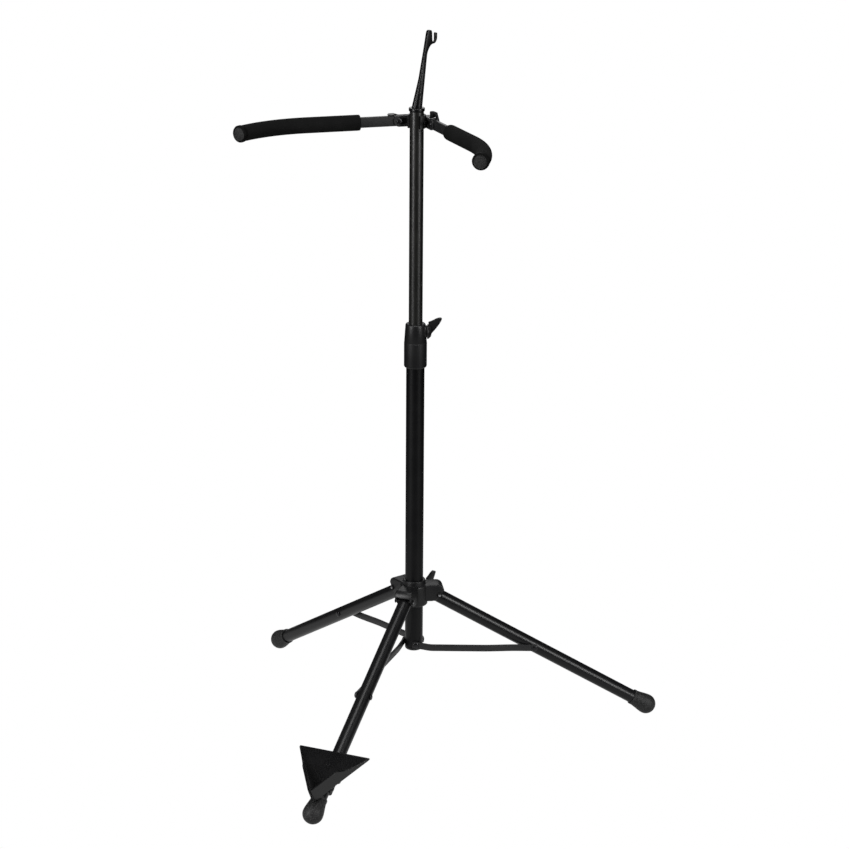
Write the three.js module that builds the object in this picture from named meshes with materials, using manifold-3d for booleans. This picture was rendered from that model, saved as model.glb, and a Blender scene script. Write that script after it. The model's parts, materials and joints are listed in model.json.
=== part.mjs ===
// Cello stand: a folding tripod on a tube column, a sliding mast with two padded arms and a bow hook,
// and an end pin tray on the front leg.
// Millimetres, +Z up. The column stands on the Z axis while the pieces are made, and the front leg
// points along -Y. At the end the whole stand is shifted so that its origin is the centre of its base.

import * as THREE from 'three';
import { mergeVertices } from 'three/addons/utils/BufferGeometryUtils.js';
import Module from 'manifold-3d';

const wasm = await Module();
wasm.setup();

// Fits and fineness
const gap = 0.3; // between two pieces that touch or turn on each other
const overrun = 2; // how far a cut runs past the face it opens
const roundSides = 24;
const smallSides = 12;
const cornerSteps = 4;
const quarterTurn = Math.PI / 2;
const fullTurn = 2 * Math.PI;
const degree = Math.PI / 180;

// Tubes of the column
const outerTubeDiameter = 25.4;
const innerTubeDiameter = 19.05;
const tubeWall = 1.5;
const outerTubeRadius = outerTubeDiameter / 2;
const outerTubeBore = outerTubeRadius - tubeWall;
const innerTubeRadius = innerTubeDiameter / 2;
const innerTubeBore = innerTubeRadius - tubeWall;

// Heights above the floor with the stand open
const legPivotHeight = 202.8;
const hubPivotRise = 15.8; // of the leg pivots over the hub's lower face
const plugPivotDrop = 84.6; // of the column's foot under the leg pivots
const hubBottom = legPivotHeight - hubPivotRise;
const plugBottom = legPivotHeight - plugPivotDrop;
const clampBottom = 539.6;
const clampHeight = 62.4;
const clampTop = clampBottom + clampHeight;
const clampSleeveHeight = 36;
const clampSeat = clampBottom + clampSleeveHeight; // the outer tube ends here
const mastTop = 897.6;
const innerTubeHeld = 190; // length of the inner tube inside the outer one
const innerTubeBottom = clampSeat - innerTubeHeld;

// Legs: three tubes that hang from the hub and slope down to the floor
const legDiameter = 19.05;
const legRadius = legDiameter / 2;
const legWall = 1.2;
const legSlope = 31 * degree;
const legAxisDrop = 4.5; // the tube's axis lies this far under its pivot
const legPivotRadius = 35;
const legInnerEnd = 6; // the tube runs this far past its pivot towards the column
const frontAzimuth = -90 * degree;
const legNames = ['front', 'right', 'left'];
const legAzimuths = legNames.map((name, i) => frontAzimuth + (i * fullTurn) / legNames.length);

// Rubber feet
const footRadius = 14.2;
const footRimRadius = 11.2;
const footRimWidth = 4;
const footLength = 39;
const footBoreDepth = 20;
const footStand = 13.4; // of the middle of the bulb over the floor, so its sole is a little flattened
const footCentre = (legPivotHeight - footStand - legAxisDrop * Math.cos(legSlope)) / Math.sin(legSlope);
const footEnd = footCentre + footRadius;
const footRim = footEnd - footLength;
const legTubeEnd = footRim + footBoreDepth - gap;

// Hub that slides on the column and carries the legs
const hubBore = outerTubeRadius + gap;
const hubDrumRadius = 19.5;
const hubCollarRadius = 15.8;
const hubDrumHeight = 31;
const hubCollarRise = 6.5;
const hubEdge = 3;
const hubWidth = 24.6; // across the two cheeks of a lug
const lugReach = 41.8;
const lugCorner = 7;
const cheekRise = 6.6; // of the cheek's lower edge over the drum's
const cheekRadius = 31.5; // where the cheek's lower edge turns up
const lipRise = 22.9; // over the hub's lower face, where the cheek meets the lug's lip
const screwBossRadius = 30.5;
const hubScrewRise = 14.2;
const hubScrewAzimuth = 78 * degree;
const hubWingTurn = 0;
const lugTopPlate = 3.2;
const lugLip = 2.2;
const lugLipHeight = 8.6;
const lugCavityStart = 18.4;
const hubTop = hubBottom + hubDrumHeight;
const hubScrewHeight = hubBottom + hubScrewRise;
const hubNutSeat = hubBore + gap * 4; // from the column's axis

// Leg pivot bolts
const boltRadius = 2.5;
const boltHeadRadius = 3.8;
const boltHeadHeight = 1.6;

// Plastic insert in the end of each leg
const insertLength = 22;

// Braces: one flat strip beside each leg
const braceThickness = 2.5;
const braceHeight = 9.8;
const bracePlateOffset = outerTubeRadius + gap + braceThickness / 2; // from the column's axis to its middle
const bracePivotRadius = 1; // of the inner pivot, along the leg's direction
const bracePivotRise = 10.2; // of the inner pivots over the column's foot
const bracePivotHeight = plugBottom + bracePivotRise;
const braceLegPosition = 164; // of the outer pivot, along the leg from its own pivot
const braceCrankLength = 21;
const braceCrankDrop = 3.4;
const joggleStartShare = 0.6;
const joggleEndShare = 0.82;
const rivetRadius = 2.2;
const rivetHeadRadius = 4.2;
const rivetHeadHeight = 1.6;

// Plug in the foot of the outer tube, which also holds the inner brace rivets
const plugHeight = 22;
const plugFlange = 4.2;
const plugEdge = 3;
const plugRadius = outerTubeBore - gap;
const rivetGrip = 2; // how far a rivet goes into the plug

// Height clamp on top of the outer tube
const clampTopRadius = 14;
const clampRadius = 15.8;
const clampEdge = 2.5;
const clampGroove = 0.5;
const clampScrewDrop = 11.5; // of the screw under the clamp's top
const clampAzimuth = 20 * degree;
const clampBossRadius = 8.5;
const bushTopFlange = 2.6;
const bushLength = 34;
const clampScrewHeight = clampTop - clampScrewDrop;
const clampNutSeat = innerTubeRadius + gap * 4; // from the column's axis

// Guide bush on the lower end of the inner tube
const guideHeight = 20;
const guideFloor = 3.5;

// Thumbscrews: a metal screw in a plastic knob with one wing
const screwRadius = 3;
const nutRadius = 5.8;
const nutSides = 6;
const nutThickness = 3.4;
const knobRadius = 10.3;
const knobFaceRadius = 6.4;
const knobThickness = 4.8;
const knobCrown = 1.2;
const knobSocket = 3.8;
const wingThickness = 4.6;
const wingLength = 20;
const wingReach = 20;

// Yoke on the mast
const yokeTurn = -3 * degree; // it stands a little off the front leg
const armDrop = 15.3; // of the arms under the mast's top
const armHeight = mastTop - armDrop;
const armAngle = 41 * degree; // from straight across, towards the front
const armOffset = 15.9; // from the column's axis to the middle of the arm
const saddleRadius = 12.4;
const saddleLow = 7.4; // under the arm's middle
const saddleRise = 10.6; // over the arm's middle
const saddleFront = 40 * degree; // the saddle stops this far in front of the sides
const earHeight = 15;
const earThickness = 2.2;
const armThickness = 5;
const armBarHeight = 14;
const armPivot = 21; // along the arm from the point nearest to the column
const armRootEnd = 6.4;
const blockStart = -7;
const blockEnd = 9.5;
const earInner = armThickness / 2 + gap;
const earOuter = earInner + earThickness;
const armStraight = 148;
const armBendRadius = 160;
const armBend = 36 * degree;
const foamStart = 75;
const foamDiameter = 21.4;
const foamSteps = 14;
const capRadius = 11.4;
const capThickness = 5.5;

// Lock lever on the outside of each arm
const leverThickness = 2;
const leverDiscRadius = 6.4;
const leverTabStart = 6;
const leverTabLength = 9.5;
const leverTabThickness = 1.5;
const leverTabOuterTip = 1;
const leverTabInnerRoot = -3;
const leverTabInnerTip = -4.5;
const leverRaise = 72 * degree;

// Bow hook in the top of the mast
const hookAzimuth = 60 * degree;
const hookThickness = 4;
const hookPlugLength = 10.5;
const hookFlangeRadius = 10.8;
const hookFlangeHeight = 4.8;
const hookHeight = 102.6; // over the flange
const hookReach = 32; // of the small prong from the mast's axis
const hookBaseHalfWidth = 7.6;
const hookRibHalfWidth = 7.2;
const hookRibThickness = 3.4;
const hookLean = 0.178; // sideways per unit of height
const hookFork = 25.4; // from the narrow neck to the tip
const hookNeck = hookHeight - hookFork;
const hookNeckWidth = 4.2;
const hookWaistShare = 0.42;
const hookFillet = 6;
const hookProng = 3;
const hookProngDrop = 4.4;
const hookSlot = 4.8;
const hookSlotDepth = 16.2; // under the tip
const hookSlotBottom = hookHeight - hookSlotDepth;
const hookTipHalfWidth = 3.4;
const hookTipTaper = 0.9;

// Tray for the end pin, on the front leg
const trayHalfWidth = 51;
const trayLength = 81;
const trayFootGap = 10.3; // from the tray's front corner to the middle of the foot's bulb, along the leg
const trayPoint = footCentre - trayFootGap;
const trayPlate = 1.8;
const trayUnder = 9.1; // of the plate over the leg's pivot line
const trayWall = 25;
const trayCorner = 2.5;
const traySlit = 1.6; // half of the opening between the walls, along each of them
const trayFold = 0.6;
const trayWallBends = [6, 8, 10]; // corner radii along the upper edge of a wall
const saddleBlockEnd = trayPoint - 27.5;
const saddleBlockStart = saddleBlockEnd - 37;
const saddleBlockHalfWidth = 11.5;
const saddleBlockUnder = 1.6;
const saddleBlockEdge = 8;
const trayScrewSpots = [[-51, -11.5], [-31, -1.5]]; // along the leg from the tray, and square to it
const trayScrewPlaces = trayScrewSpots.map(([along, up]) => [trayPoint + along, up]);
const trayScrewHead = 4.6;
const trayScrewHeadHeight = 3.4;
const trayBoltRadius = 2;
const trayBoltHead = 3.4;
const trayBoltHeadHeight = 1.2;
const trayBoltDepth = 3;
const trayBoltSpacing = 22;

// Looks of the materials
function finish(colour, roughness, metalness) {
  return new THREE.MeshStandardMaterial({ color: colour, roughness, metalness });
}
const blackEnamel = finish('#1b1b1c', 0.38, 0.35);
const blackPlastic = finish('#242425', 0.55, 0);
const blackRubber = finish('#2c2c2c', 0.85, 0);
const blackFoam = finish('#101010', 0.95, 0);
const zincSteel = finish('#9a9a9c', 0.35, 0.9);
const innerPlastic = finish('#3a3a3c', 0.5, 0);

// Solids from closed three.js meshes, and back
function toSolid(geometry) {
  const bare = new THREE.BufferGeometry();
  bare.setAttribute('position', geometry.getAttribute('position').clone());
  if (geometry.index) bare.setIndex(geometry.index.clone());
  const merged = mergeVertices(bare);
  const index = merged.index.array;
  const faces = [];
  for (let i = 0; i < index.length; i += 3) {
    const [a, b, c] = [index[i], index[i + 1], index[i + 2]];
    if (a !== b && b !== c && c !== a) faces.push(a, b, c);
  }
  const vertProperties = new Float32Array(merged.getAttribute('position').array);
  return new wasm.Manifold(new wasm.Mesh({ numProp: 3, vertProperties, triVerts: new Uint32Array(faces) }));
}

function toGeometry(solid) {
  const { vertProperties, triVerts, numProp } = solid.getMesh();
  const positions = [];
  for (let i = 0; i < vertProperties.length; i += numProp) {
    positions.push(vertProperties[i], vertProperties[i + 1], vertProperties[i + 2]);
  }
  const geometry = new THREE.BufferGeometry();
  geometry.setAttribute('position', new THREE.Float32BufferAttribute(positions, 3));
  geometry.setIndex(Array.from(triVerts));
  geometry.computeVertexNormals();
  return geometry;
}

function join(geometries) {
  return toGeometry(geometries.map(toSolid).reduce((sum, next) => sum.add(next)));
}

function cut(geometry, tools) {
  return toGeometry(tools.map(toSolid).reduce((rest, tool) => rest.subtract(tool), toSolid(geometry)));
}

function common(first, second) {
  return toGeometry(toSolid(first).intersect(toSolid(second)));
}

// Basic forms. A turned form has its axis on Z, and its profile is a list of [radius, height].
function turned(profile, sides = roundSides) {
  const closed = profile.concat([profile[0]]);
  const area = closed.slice(1).reduce((sum, [r, h], i) => sum + closed[i][0] * h - r * closed[i][1], 0);
  const onAxis = profile[0][0] === 0 && profile[profile.length - 1][0] === 0;
  const ordered = area < 0 ? profile.slice().reverse() : profile;
  const points = (onAxis ? ordered : ordered.concat([ordered[0]])).map(([r, h]) => new THREE.Vector2(r, h));
  return new THREE.LatheGeometry(points, sides).rotateX(quarterTurn);
}

function rod(radius, low, high, sides = roundSides) {
  return turned([[0, low], [radius, low], [radius, high], [0, high]], sides);
}

function pipe(outer, inner, low, high, sides = roundSides) {
  return turned([[inner, low], [outer, low], [outer, high], [inner, high]], sides);
}

function slab(shape, thickness) {
  const settings = { depth: thickness, bevelEnabled: false, curveSegments: cornerSteps };
  return new THREE.ExtrudeGeometry(shape, settings);
}

function block(low, high) {
  const size = high.map((value, i) => value - low[i]);
  const middle = high.map((value, i) => (value + low[i]) / 2);
  return new THREE.BoxGeometry(...size).translate(...middle);
}

// A closed outline through the points, with each corner rounded by its own radius
function roundedShape(corners) {
  const shape = new THREE.Shape();
  corners.forEach(([x, y, radius = 0], i) => {
    const here = new THREE.Vector2(x, y);
    const [px, py] = corners[(i + corners.length - 1) % corners.length];
    const [nx, ny] = corners[(i + 1) % corners.length];
    const back = new THREE.Vector2(px, py).sub(here);
    const ahead = new THREE.Vector2(nx, ny).sub(here);
    const start = here.clone().addScaledVector(back.normalize(), radius);
    const end = here.clone().addScaledVector(ahead.normalize(), radius);
    if (i === 0) shape.moveTo(start.x, start.y);
    else shape.lineTo(start.x, start.y);
    if (radius > 0) shape.quadraticCurveTo(here.x, here.y, end.x, end.y);
  });
  shape.closePath();
  return shape;
}

// Turns a form that was made along Z so that it lies along X or Y
function alongX(geometry) {
  return geometry.rotateY(quarterTurn);
}

function alongY(geometry) {
  return geometry.rotateX(-quarterTurn);
}

// A rivet or bolt head, domed, with its flat face at the given height
function dome(radius, height, seat, sides = smallSides) {
  const shoulderShare = 0.75;
  const riseShare = 0.65;
  const profile = [[0, 0], [radius, 0], [radius * shoulderShare, height * riseShare], [0, height]];
  return turned(profile, sides).translate(0, 0, seat);
}

function piece(name, geometry, material) {
  const mesh = new THREE.Mesh(toGeometry(toSolid(geometry)), material);
  mesh.name = name;
  return mesh;
}

const stand = new THREE.Group();

function frameAt(parent, position, rotation) {
  const frame = new THREE.Group();
  frame.position.set(...position);
  frame.rotation.set(...rotation);
  parent.add(frame);
  return frame;
}

// Column: the outer tube, the inner tube and the bushes between them
function makeColumn() {
  const tubeBottom = plugBottom + plugFlange + gap;
  stand.add(piece('outer_tube', makeOuterTube(tubeBottom, clampSeat), blackEnamel));
  const bushBore = innerTubeRadius + gap;
  const bushRadius = outerTubeBore - gap;
  const flangeLow = clampSeat + gap;
  const flangeTop = flangeLow + bushTopFlange;
  const bush = [
    [bushBore, flangeTop - bushLength],
    [bushRadius, flangeTop - bushLength],
    [bushRadius, flangeLow],
    [outerTubeRadius, flangeLow],
    [outerTubeRadius, flangeTop],
    [bushBore, flangeTop],
  ];
  stand.add(piece('clamp_bush', turned(bush), innerPlastic));
  const cupLow = innerTubeBottom - gap - guideFloor;
  const guide = [
    [0, cupLow],
    [bushRadius, cupLow],
    [bushRadius, cupLow + guideHeight],
    [bushBore, cupLow + guideHeight],
    [bushBore, cupLow + guideFloor],
    [0, cupLow + guideFloor],
  ];
  stand.add(piece('guide_bush', turned(guide), innerPlastic));
}

// The outer tube has a hole for each brace rivet
function makeOuterTube(low, high) {
  const holes = legAzimuths.map((azimuth) => {
    const start = -outerTubeRadius - overrun;
    const hole = alongY(rod(rivetRadius + gap, start, overrun - outerTubeBore, smallSides));
    return hole.translate(bracePivotRadius, 0, bracePivotHeight).rotateZ(azimuth);
  });
  return cut(pipe(outerTubeRadius, outerTubeBore, low, high), holes);
}

// Plug in the column's foot and the inner brace rivets
function makePlug() {
  const top = plugBottom + plugHeight;
  const edgeMiddleShare = 0.3;
  const body = [
    [0, plugBottom],
    [outerTubeRadius - plugEdge, plugBottom],
    [outerTubeRadius - plugEdge * edgeMiddleShare, plugBottom + plugEdge * edgeMiddleShare],
    [outerTubeRadius, plugBottom + plugEdge],
    [outerTubeRadius, plugBottom + plugFlange],
    [plugRadius, plugBottom + plugFlange],
    [plugRadius, top],
    [0, top],
  ];
  const hole = alongY(rod(rivetRadius + gap, -outerTubeRadius, rivetGrip + gap - plugRadius, smallSides));
  hole.translate(bracePivotRadius, 0, bracePivotHeight);
  const holes = legAzimuths.map((azimuth) => hole.clone().rotateZ(azimuth));
  stand.add(piece('column_plug', cut(turned(body), holes), blackPlastic));
  legAzimuths.forEach((azimuth, i) => {
    const frame = frameAt(stand, [0, 0, 0], [0, 0, azimuth]);
    const seat = bracePlateOffset + braceThickness / 2 + gap;
    const shank = rod(rivetRadius, plugRadius - rivetGrip, seat + rivetHeadHeight / 2, smallSides);
    const rivet = join([shank, dome(rivetHeadRadius, rivetHeadHeight, seat)]).rotateX(quarterTurn);
    rivet.translate(bracePivotRadius, 0, bracePivotHeight);
    frame.add(piece(`brace_inner_rivet_${legNames[i]}`, rivet, zincSteel));
  });
}

// Side view of one lug of the hub: [radius from the column, height, corner radius]
function lugOutline() {
  const low = hubBottom + cheekRise;
  return roundedShape([
    [0, low],
    [cheekRadius, low, lugCorner],
    [lugReach - gap, hubBottom + lipRise, lugCorner / 8],
    [lugReach, hubTop, lugCorner],
    [0, hubTop],
  ]);
}

// Hub: drum, collar and three lugs, with a slot under each lug for its leg
function makeHub() {
  const drum = turned([
    [0, hubBottom],
    [hubDrumRadius - hubEdge, hubBottom],
    [hubDrumRadius, hubBottom + hubEdge],
    [hubDrumRadius, hubTop - hubEdge],
    [hubCollarRadius + gap, hubTop],
    [hubCollarRadius, hubTop + hubCollarRise],
    [0, hubTop + hubCollarRise],
  ]);
  const boss = alongX(rod(knobRadius - 2 * gap, 0, screwBossRadius)).translate(0, 0, hubScrewHeight);
  const parts = [drum, boss.rotateZ(hubScrewAzimuth)];
  const cuts = [rod(hubBore, hubBottom - overrun, hubTop + hubCollarRise + overrun)];
  for (const azimuth of legAzimuths) {
    const side = slab(lugOutline(), hubWidth).rotateX(quarterTurn).translate(0, hubWidth / 2, 0);
    parts.push(side.rotateZ(azimuth));
    const slotHalf = legRadius + 2 * gap;
    const slotLow = [lugCavityStart, -slotHalf, hubBottom - overrun];
    const slotHigh = [lugReach - lugLip, slotHalf, hubTop - lugTopPlate];
    cuts.push(block(slotLow, slotHigh).rotateZ(azimuth));
    const mouthLow = [lugReach - lugLip - overrun, -slotHalf, hubBottom - overrun];
    const mouthHigh = [lugReach + overrun, slotHalf, hubTop - lugLipHeight];
    cuts.push(block(mouthLow, mouthHigh).rotateZ(azimuth));
    const hole = alongY(rod(boltRadius + gap, -hubWidth, hubWidth, smallSides));
    cuts.push(hole.translate(legPivotRadius, 0, legPivotHeight).rotateZ(azimuth));
  }
  cuts.push(...screwPocket(hubScrewHeight, hubScrewAzimuth, hubNutSeat, screwBossRadius));
  stand.add(piece('leg_hub', cut(join(parts), cuts), blackPlastic));
  legAzimuths.forEach((azimuth, i) => {
    const frame = frameAt(stand, [0, 0, 0], [0, 0, azimuth]);
    const seat = hubWidth / 2 + gap;
    const shank = rod(boltRadius, -seat - boltHeadHeight / 2, seat + boltHeadHeight / 2, smallSides);
    const heads = [1, -1].map((side) => {
      const head = dome(boltHeadRadius, boltHeadHeight, seat);
      return side > 0 ? head : head.rotateX(2 * quarterTurn);
    });
    const bolt = join([shank, ...heads]).rotateX(quarterTurn);
    bolt.translate(legPivotRadius, 0, legPivotHeight);
    frame.add(piece(`leg_pivot_bolt_${legNames[i]}`, bolt, zincSteel));
  });
}

// The hole for a thumbscrew and the pocket for its nut, along X and then turned to its azimuth
function screwPocket(height, azimuth, nutSeat, reach) {
  const hole = alongX(rod(screwRadius + gap, 0, reach + overrun + gap, smallSides));
  const pocket = alongX(rod(nutRadius + gap, nutSeat - gap, nutSeat + nutThickness + gap, nutSides));
  return [hole, pocket].map((tool) => tool.translate(0, 0, height).rotateZ(azimuth));
}

// Nut of a thumbscrew, along Z with its inner face at the seat
function makeNut(seat) {
  return cut(rod(nutRadius, seat, seat + nutThickness, nutSides), [
    rod(screwRadius + gap, seat - overrun, seat + nutThickness + overrun, smallSides),
  ]);
}

// Plastic knob with one wing. Its axis is Z, outwards, and the wing rises towards X.
function makeKnob() {
  const bore = screwRadius + gap;
  const hub = [
    [0, knobSocket],
    [bore, knobSocket],
    [bore, 0],
    [knobRadius, 0],
    [knobRadius, knobCrown],
    [knobFaceRadius, knobThickness],
    [bore, knobThickness + knobCrown],
    [0, knobThickness + knobCrown],
  ];
  // [share of the wing's rise, share of its length]
  const upperShares = [[0.66, 0.07], [0.78, 0.36], [0.93, 0.62], [1, 0.86], [0.98, 0.96]];
  const lowerShares = [[0.92, 1], [0.84, 0.98], [0.55, 0.82], [0.22, 0.58]];
  const wingShares = [...upperShares, ...lowerShares];
  const wing = roundedShape([
    ...wingShares.map(([rise, along]) => [wingReach * rise, wingLength * along]),
    [-bore, knobThickness + gap],
    [-bore, knobSocket + gap],
    [bore + gap, knobSocket + gap],
  ]);
  const blade = slab(wing, wingThickness).translate(0, 0, -wingThickness / 2).rotateX(quarterTurn);
  return join([turned(hub), blade]);
}

// A thumbscrew: its frame's Z points outwards, and X is the way that the wing rises
function addThumbscrew(parent, name, place) {
  const frame = frameAt(parent, place.position, place.rotation);
  const turning = frameAt(frame, [0, 0, 0], [0, 0, place.wingTurn]);
  turning.add(piece(`${name}_knob`, makeKnob().translate(0, 0, place.seat), blackPlastic));
  const screw = rod(screwRadius, place.tip, place.seat + knobSocket - gap, smallSides);
  turning.add(piece(`${name}_screw`, screw, zincSteel));
  frame.add(piece(`${name}_nut`, makeNut(place.nutSeat), zincSteel));
}

// Height clamp: a plastic collar on the outer tube with the screw that grips the inner tube
function makeClamp() {
  const bushTop = clampSeat + gap + bushTopFlange;
  const grooveLow = clampSeat;
  const body = turned([
    [outerTubeRadius + gap, clampBottom],
    [clampRadius - clampEdge, clampBottom],
    [clampRadius, clampBottom + clampEdge],
    [clampRadius, grooveLow - clampGroove],
    [clampRadius - clampGroove, grooveLow],
    [clampRadius - clampGroove / 2, grooveLow + clampGroove],
    [clampTopRadius, clampTop - clampEdge],
    [clampTopRadius - clampEdge / 4, clampTop - clampEdge / 4],
    [clampTopRadius - clampEdge, clampTop],
    [innerTubeRadius + gap, clampTop],
    [innerTubeRadius + gap, bushTop + gap],
    [outerTubeRadius + gap, bushTop + gap],
  ]);
  const boss = alongX(rod(clampBossRadius, innerTubeRadius + overrun, clampRadius));
  boss.translate(0, 0, clampScrewHeight).rotateZ(clampAzimuth);
  const cuts = screwPocket(clampScrewHeight, clampAzimuth, clampNutSeat, clampRadius);
  stand.add(piece('clamp_collar', cut(join([body, boss]), cuts), blackPlastic));
}

function makeThumbscrews() {
  addThumbscrew(stand, 'clamp', {
    position: [0, 0, clampScrewHeight],
    rotation: radialRotation(clampAzimuth),
    wingTurn: 0,
    tip: innerTubeRadius + gap,
    nutSeat: clampNutSeat,
    seat: clampRadius + gap,
  });
  addThumbscrew(stand, 'hub', {
    position: [0, 0, hubScrewHeight],
    rotation: radialRotation(hubScrewAzimuth),
    wingTurn: hubWingTurn,
    tip: outerTubeRadius + gap,
    nutSeat: hubNutSeat,
    seat: screwBossRadius + gap,
  });
}

// Turns local Z to the radial direction at an azimuth, and local X to straight up
function radialRotation(azimuth) {
  const outward = new THREE.Vector3(Math.cos(azimuth), Math.sin(azimuth), 0);
  const up = new THREE.Vector3(0, 0, 1);
  const basis = new THREE.Matrix4().makeBasis(up, outward.clone().cross(up), outward);
  const euler = new THREE.Euler().setFromRotationMatrix(basis);
  return [euler.x, euler.y, euler.z];
}

// Legs. In a leg's frame X runs down the leg from its pivot, and Z is square to it, upwards.
function legFrame(azimuth) {
  const around = frameAt(stand, [0, 0, 0], [0, 0, azimuth]);
  return frameAt(around, [legPivotRadius, 0, legPivotHeight], [0, legSlope, 0]);
}

function makeLegTube() {
  const tube = alongX(pipe(legRadius, legRadius - legWall, -legInnerEnd, legTubeEnd));
  tube.translate(0, 0, -legAxisDrop);
  const pivotHole = alongY(rod(boltRadius + gap, -legDiameter, legDiameter, smallSides));
  const rivetHole = alongY(rod(rivetRadius + gap, -legDiameter, legDiameter, smallSides));
  return cut(tube, [pivotHole, rivetHole.translate(braceLegPosition, 0, -legAxisDrop)]);
}

function makeLegInsert() {
  const core = alongX(rod(legRadius - legWall - gap, -legInnerEnd, insertLength));
  core.translate(0, 0, -legAxisDrop);
  return cut(core, [alongY(rod(boltRadius + gap, -legDiameter, legDiameter, smallSides))]);
}

function makeFoot() {
  const bore = legRadius + gap;
  const profile = [[bore, footRim], [footRimRadius, footRim], [footRimRadius, footRim + footRimWidth]];
  const swellShares = [[0.35, 0.28], [0.7, 0.75], [1, 1]];
  for (const [lengthShare, radiusShare] of swellShares) {
    const along = footRim + footRimWidth + (footCentre - footRim - footRimWidth) * lengthShare;
    profile.push([footRimRadius + (footRadius - footRimRadius) * radiusShare, along]);
  }
  const endSteps = 4;
  for (let i = 1; i <= endSteps; i += 1) {
    const angle = (quarterTurn * i) / endSteps;
    const radius = i === endSteps ? 0 : footRadius * Math.cos(angle);
    profile.push([radius, footCentre + footRadius * Math.sin(angle)]);
  }
  const inner = [[0, footRim + footBoreDepth], [bore, footRim + footBoreDepth]];
  const foot = alongX(turned([...inner, ...profile])).translate(0, 0, -legAxisDrop);
  const ground = block([0, -footRadius - overrun, -2 * footRadius], [2 * footEnd, footRadius + overrun, 0]);
  const placement = new THREE.Matrix4().makeRotationY(legSlope);
  placement.setPosition(legPivotRadius, 0, legPivotHeight);
  return cut(foot, [ground.applyMatrix4(placement.invert())]);
}

// The half of the outer rivet that stays in the leg, with its head on the far side
function makeLegRivet() {
  const seat = legRadius + gap;
  const shank = rod(rivetRadius, -legRadius + gap, seat + rivetHeadHeight / 2, smallSides);
  return alongY(join([shank, dome(rivetHeadRadius, rivetHeadHeight, seat)])).translate(
    braceLegPosition, 0, -legAxisDrop,
  );
}

// Where a brace runs, in its leg's vertical plane
const legRivet = new THREE.Vector2(
  legPivotRadius + braceLegPosition * Math.cos(legSlope) - legAxisDrop * Math.sin(legSlope),
  legPivotHeight - braceLegPosition * Math.sin(legSlope) - legAxisDrop * Math.cos(legSlope),
);
const columnRivet = new THREE.Vector2(bracePivotRadius, bracePivotHeight);
const braceLength = legRivet.distanceTo(columnRivet);
const braceTilt = Math.atan2(columnRivet.y - legRivet.y, legRivet.x - columnRivet.x);
const braceOuterOffset = legRadius + gap + braceThickness / 2;

// Brace: the side view with its crank, cut by the top view with its joggle
function makeBrace() {
  const half = braceHeight / 2;
  const sideView = roundedShape([
    [-half, -half, half / 2],
    [0, -half],
    [braceCrankLength, -half - braceCrankDrop, half],
    [braceLength, -half],
    [braceLength + half, -half, half],
    [braceLength + half, half, half],
    [braceLength, half],
    [braceCrankLength, half - braceCrankDrop, half],
    [0, half],
    [-half, half, half / 2],
  ]);
  const depth = bracePlateOffset + braceThickness;
  const side = slab(sideView, depth).rotateX(quarterTurn);
  const inner = -bracePlateOffset + braceThickness / 2;
  const outer = -braceOuterOffset + braceThickness / 2;
  const [start, end] = [braceLength * joggleStartShare, braceLength * joggleEndShare];
  const topView = roundedShape([
    [-braceHeight, inner],
    [start, inner, braceHeight],
    [end, outer, braceHeight],
    [braceLength + braceHeight, outer],
    [braceLength + braceHeight, outer - braceThickness],
    [end, outer - braceThickness, braceHeight],
    [start, inner - braceThickness, braceHeight],
    [-braceHeight, inner - braceThickness],
  ]);
  const top = slab(topView, 2 * braceHeight + braceCrankDrop).translate(0, 0, -braceHeight - braceCrankDrop);
  const holes = [0, braceLength].map((x) => {
    return alongY(rod(rivetRadius + gap, -2 * depth, overrun, smallSides)).translate(x, 0, 0);
  });
  return cut(common(side, top), holes);
}

// The half of the outer rivet that moves with the brace
function makeBraceRivet() {
  const seat = braceOuterOffset + braceThickness / 2 + gap;
  const shank = rod(rivetRadius, legRadius + gap, seat + rivetHeadHeight / 2, smallSides);
  const rivet = join([shank, dome(rivetHeadRadius, rivetHeadHeight, seat)]).rotateX(quarterTurn);
  return rivet.translate(braceLength, 0, 0);
}

function makeLegs() {
  legAzimuths.forEach((azimuth, i) => {
    const name = legNames[i];
    const frame = legFrame(azimuth);
    frame.add(piece(`leg_tube_${name}`, makeLegTube(), blackEnamel));
    frame.add(piece(`leg_insert_${name}`, makeLegInsert(), innerPlastic));
    frame.add(piece(`foot_${name}`, makeFoot(), blackRubber));
    frame.add(piece(`leg_rivet_${name}`, makeLegRivet(), zincSteel));
    const around = frameAt(stand, [0, 0, 0], [0, 0, azimuth]);
    const pivot = frameAt(around, [bracePivotRadius, 0, bracePivotHeight], [0, braceTilt, 0]);
    pivot.add(piece(`brace_${name}`, makeBrace(), blackEnamel));
    pivot.add(piece(`brace_outer_rivet_${name}`, makeBraceRivet(), zincSteel));
  });
}

// Mast: the inner tube, the yoke and the bow hook
function makeMast() {
  const frame = frameAt(stand, [0, 0, 0], [0, 0, yokeTurn]);
  const pinHole = alongX(rod(rivetRadius + gap, -innerTubeDiameter, innerTubeDiameter, smallSides));
  const tube = cut(pipe(innerTubeRadius, innerTubeBore, innerTubeBottom, mastTop), [
    pinHole.translate(0, 0, armHeight),
  ]);
  frame.add(piece('inner_tube', tube, blackEnamel));
  frame.add(piece('yoke_bracket', makeYoke(), blackEnamel));
  const seat = saddleRadius + gap;
  const heads = [0, 1].map((turn) => dome(rivetHeadRadius, rivetHeadHeight, seat).rotateX(turn * Math.PI));
  const pin = join([rod(rivetRadius, -seat - gap, seat + gap, smallSides), ...heads]);
  frame.add(piece('yoke_pin', alongX(pin).translate(0, 0, armHeight), zincSteel));
  for (const [name, side] of [['right', 1], ['left', -1]]) makeArm(frame, name, side);
  makeBowHook();
}

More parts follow.
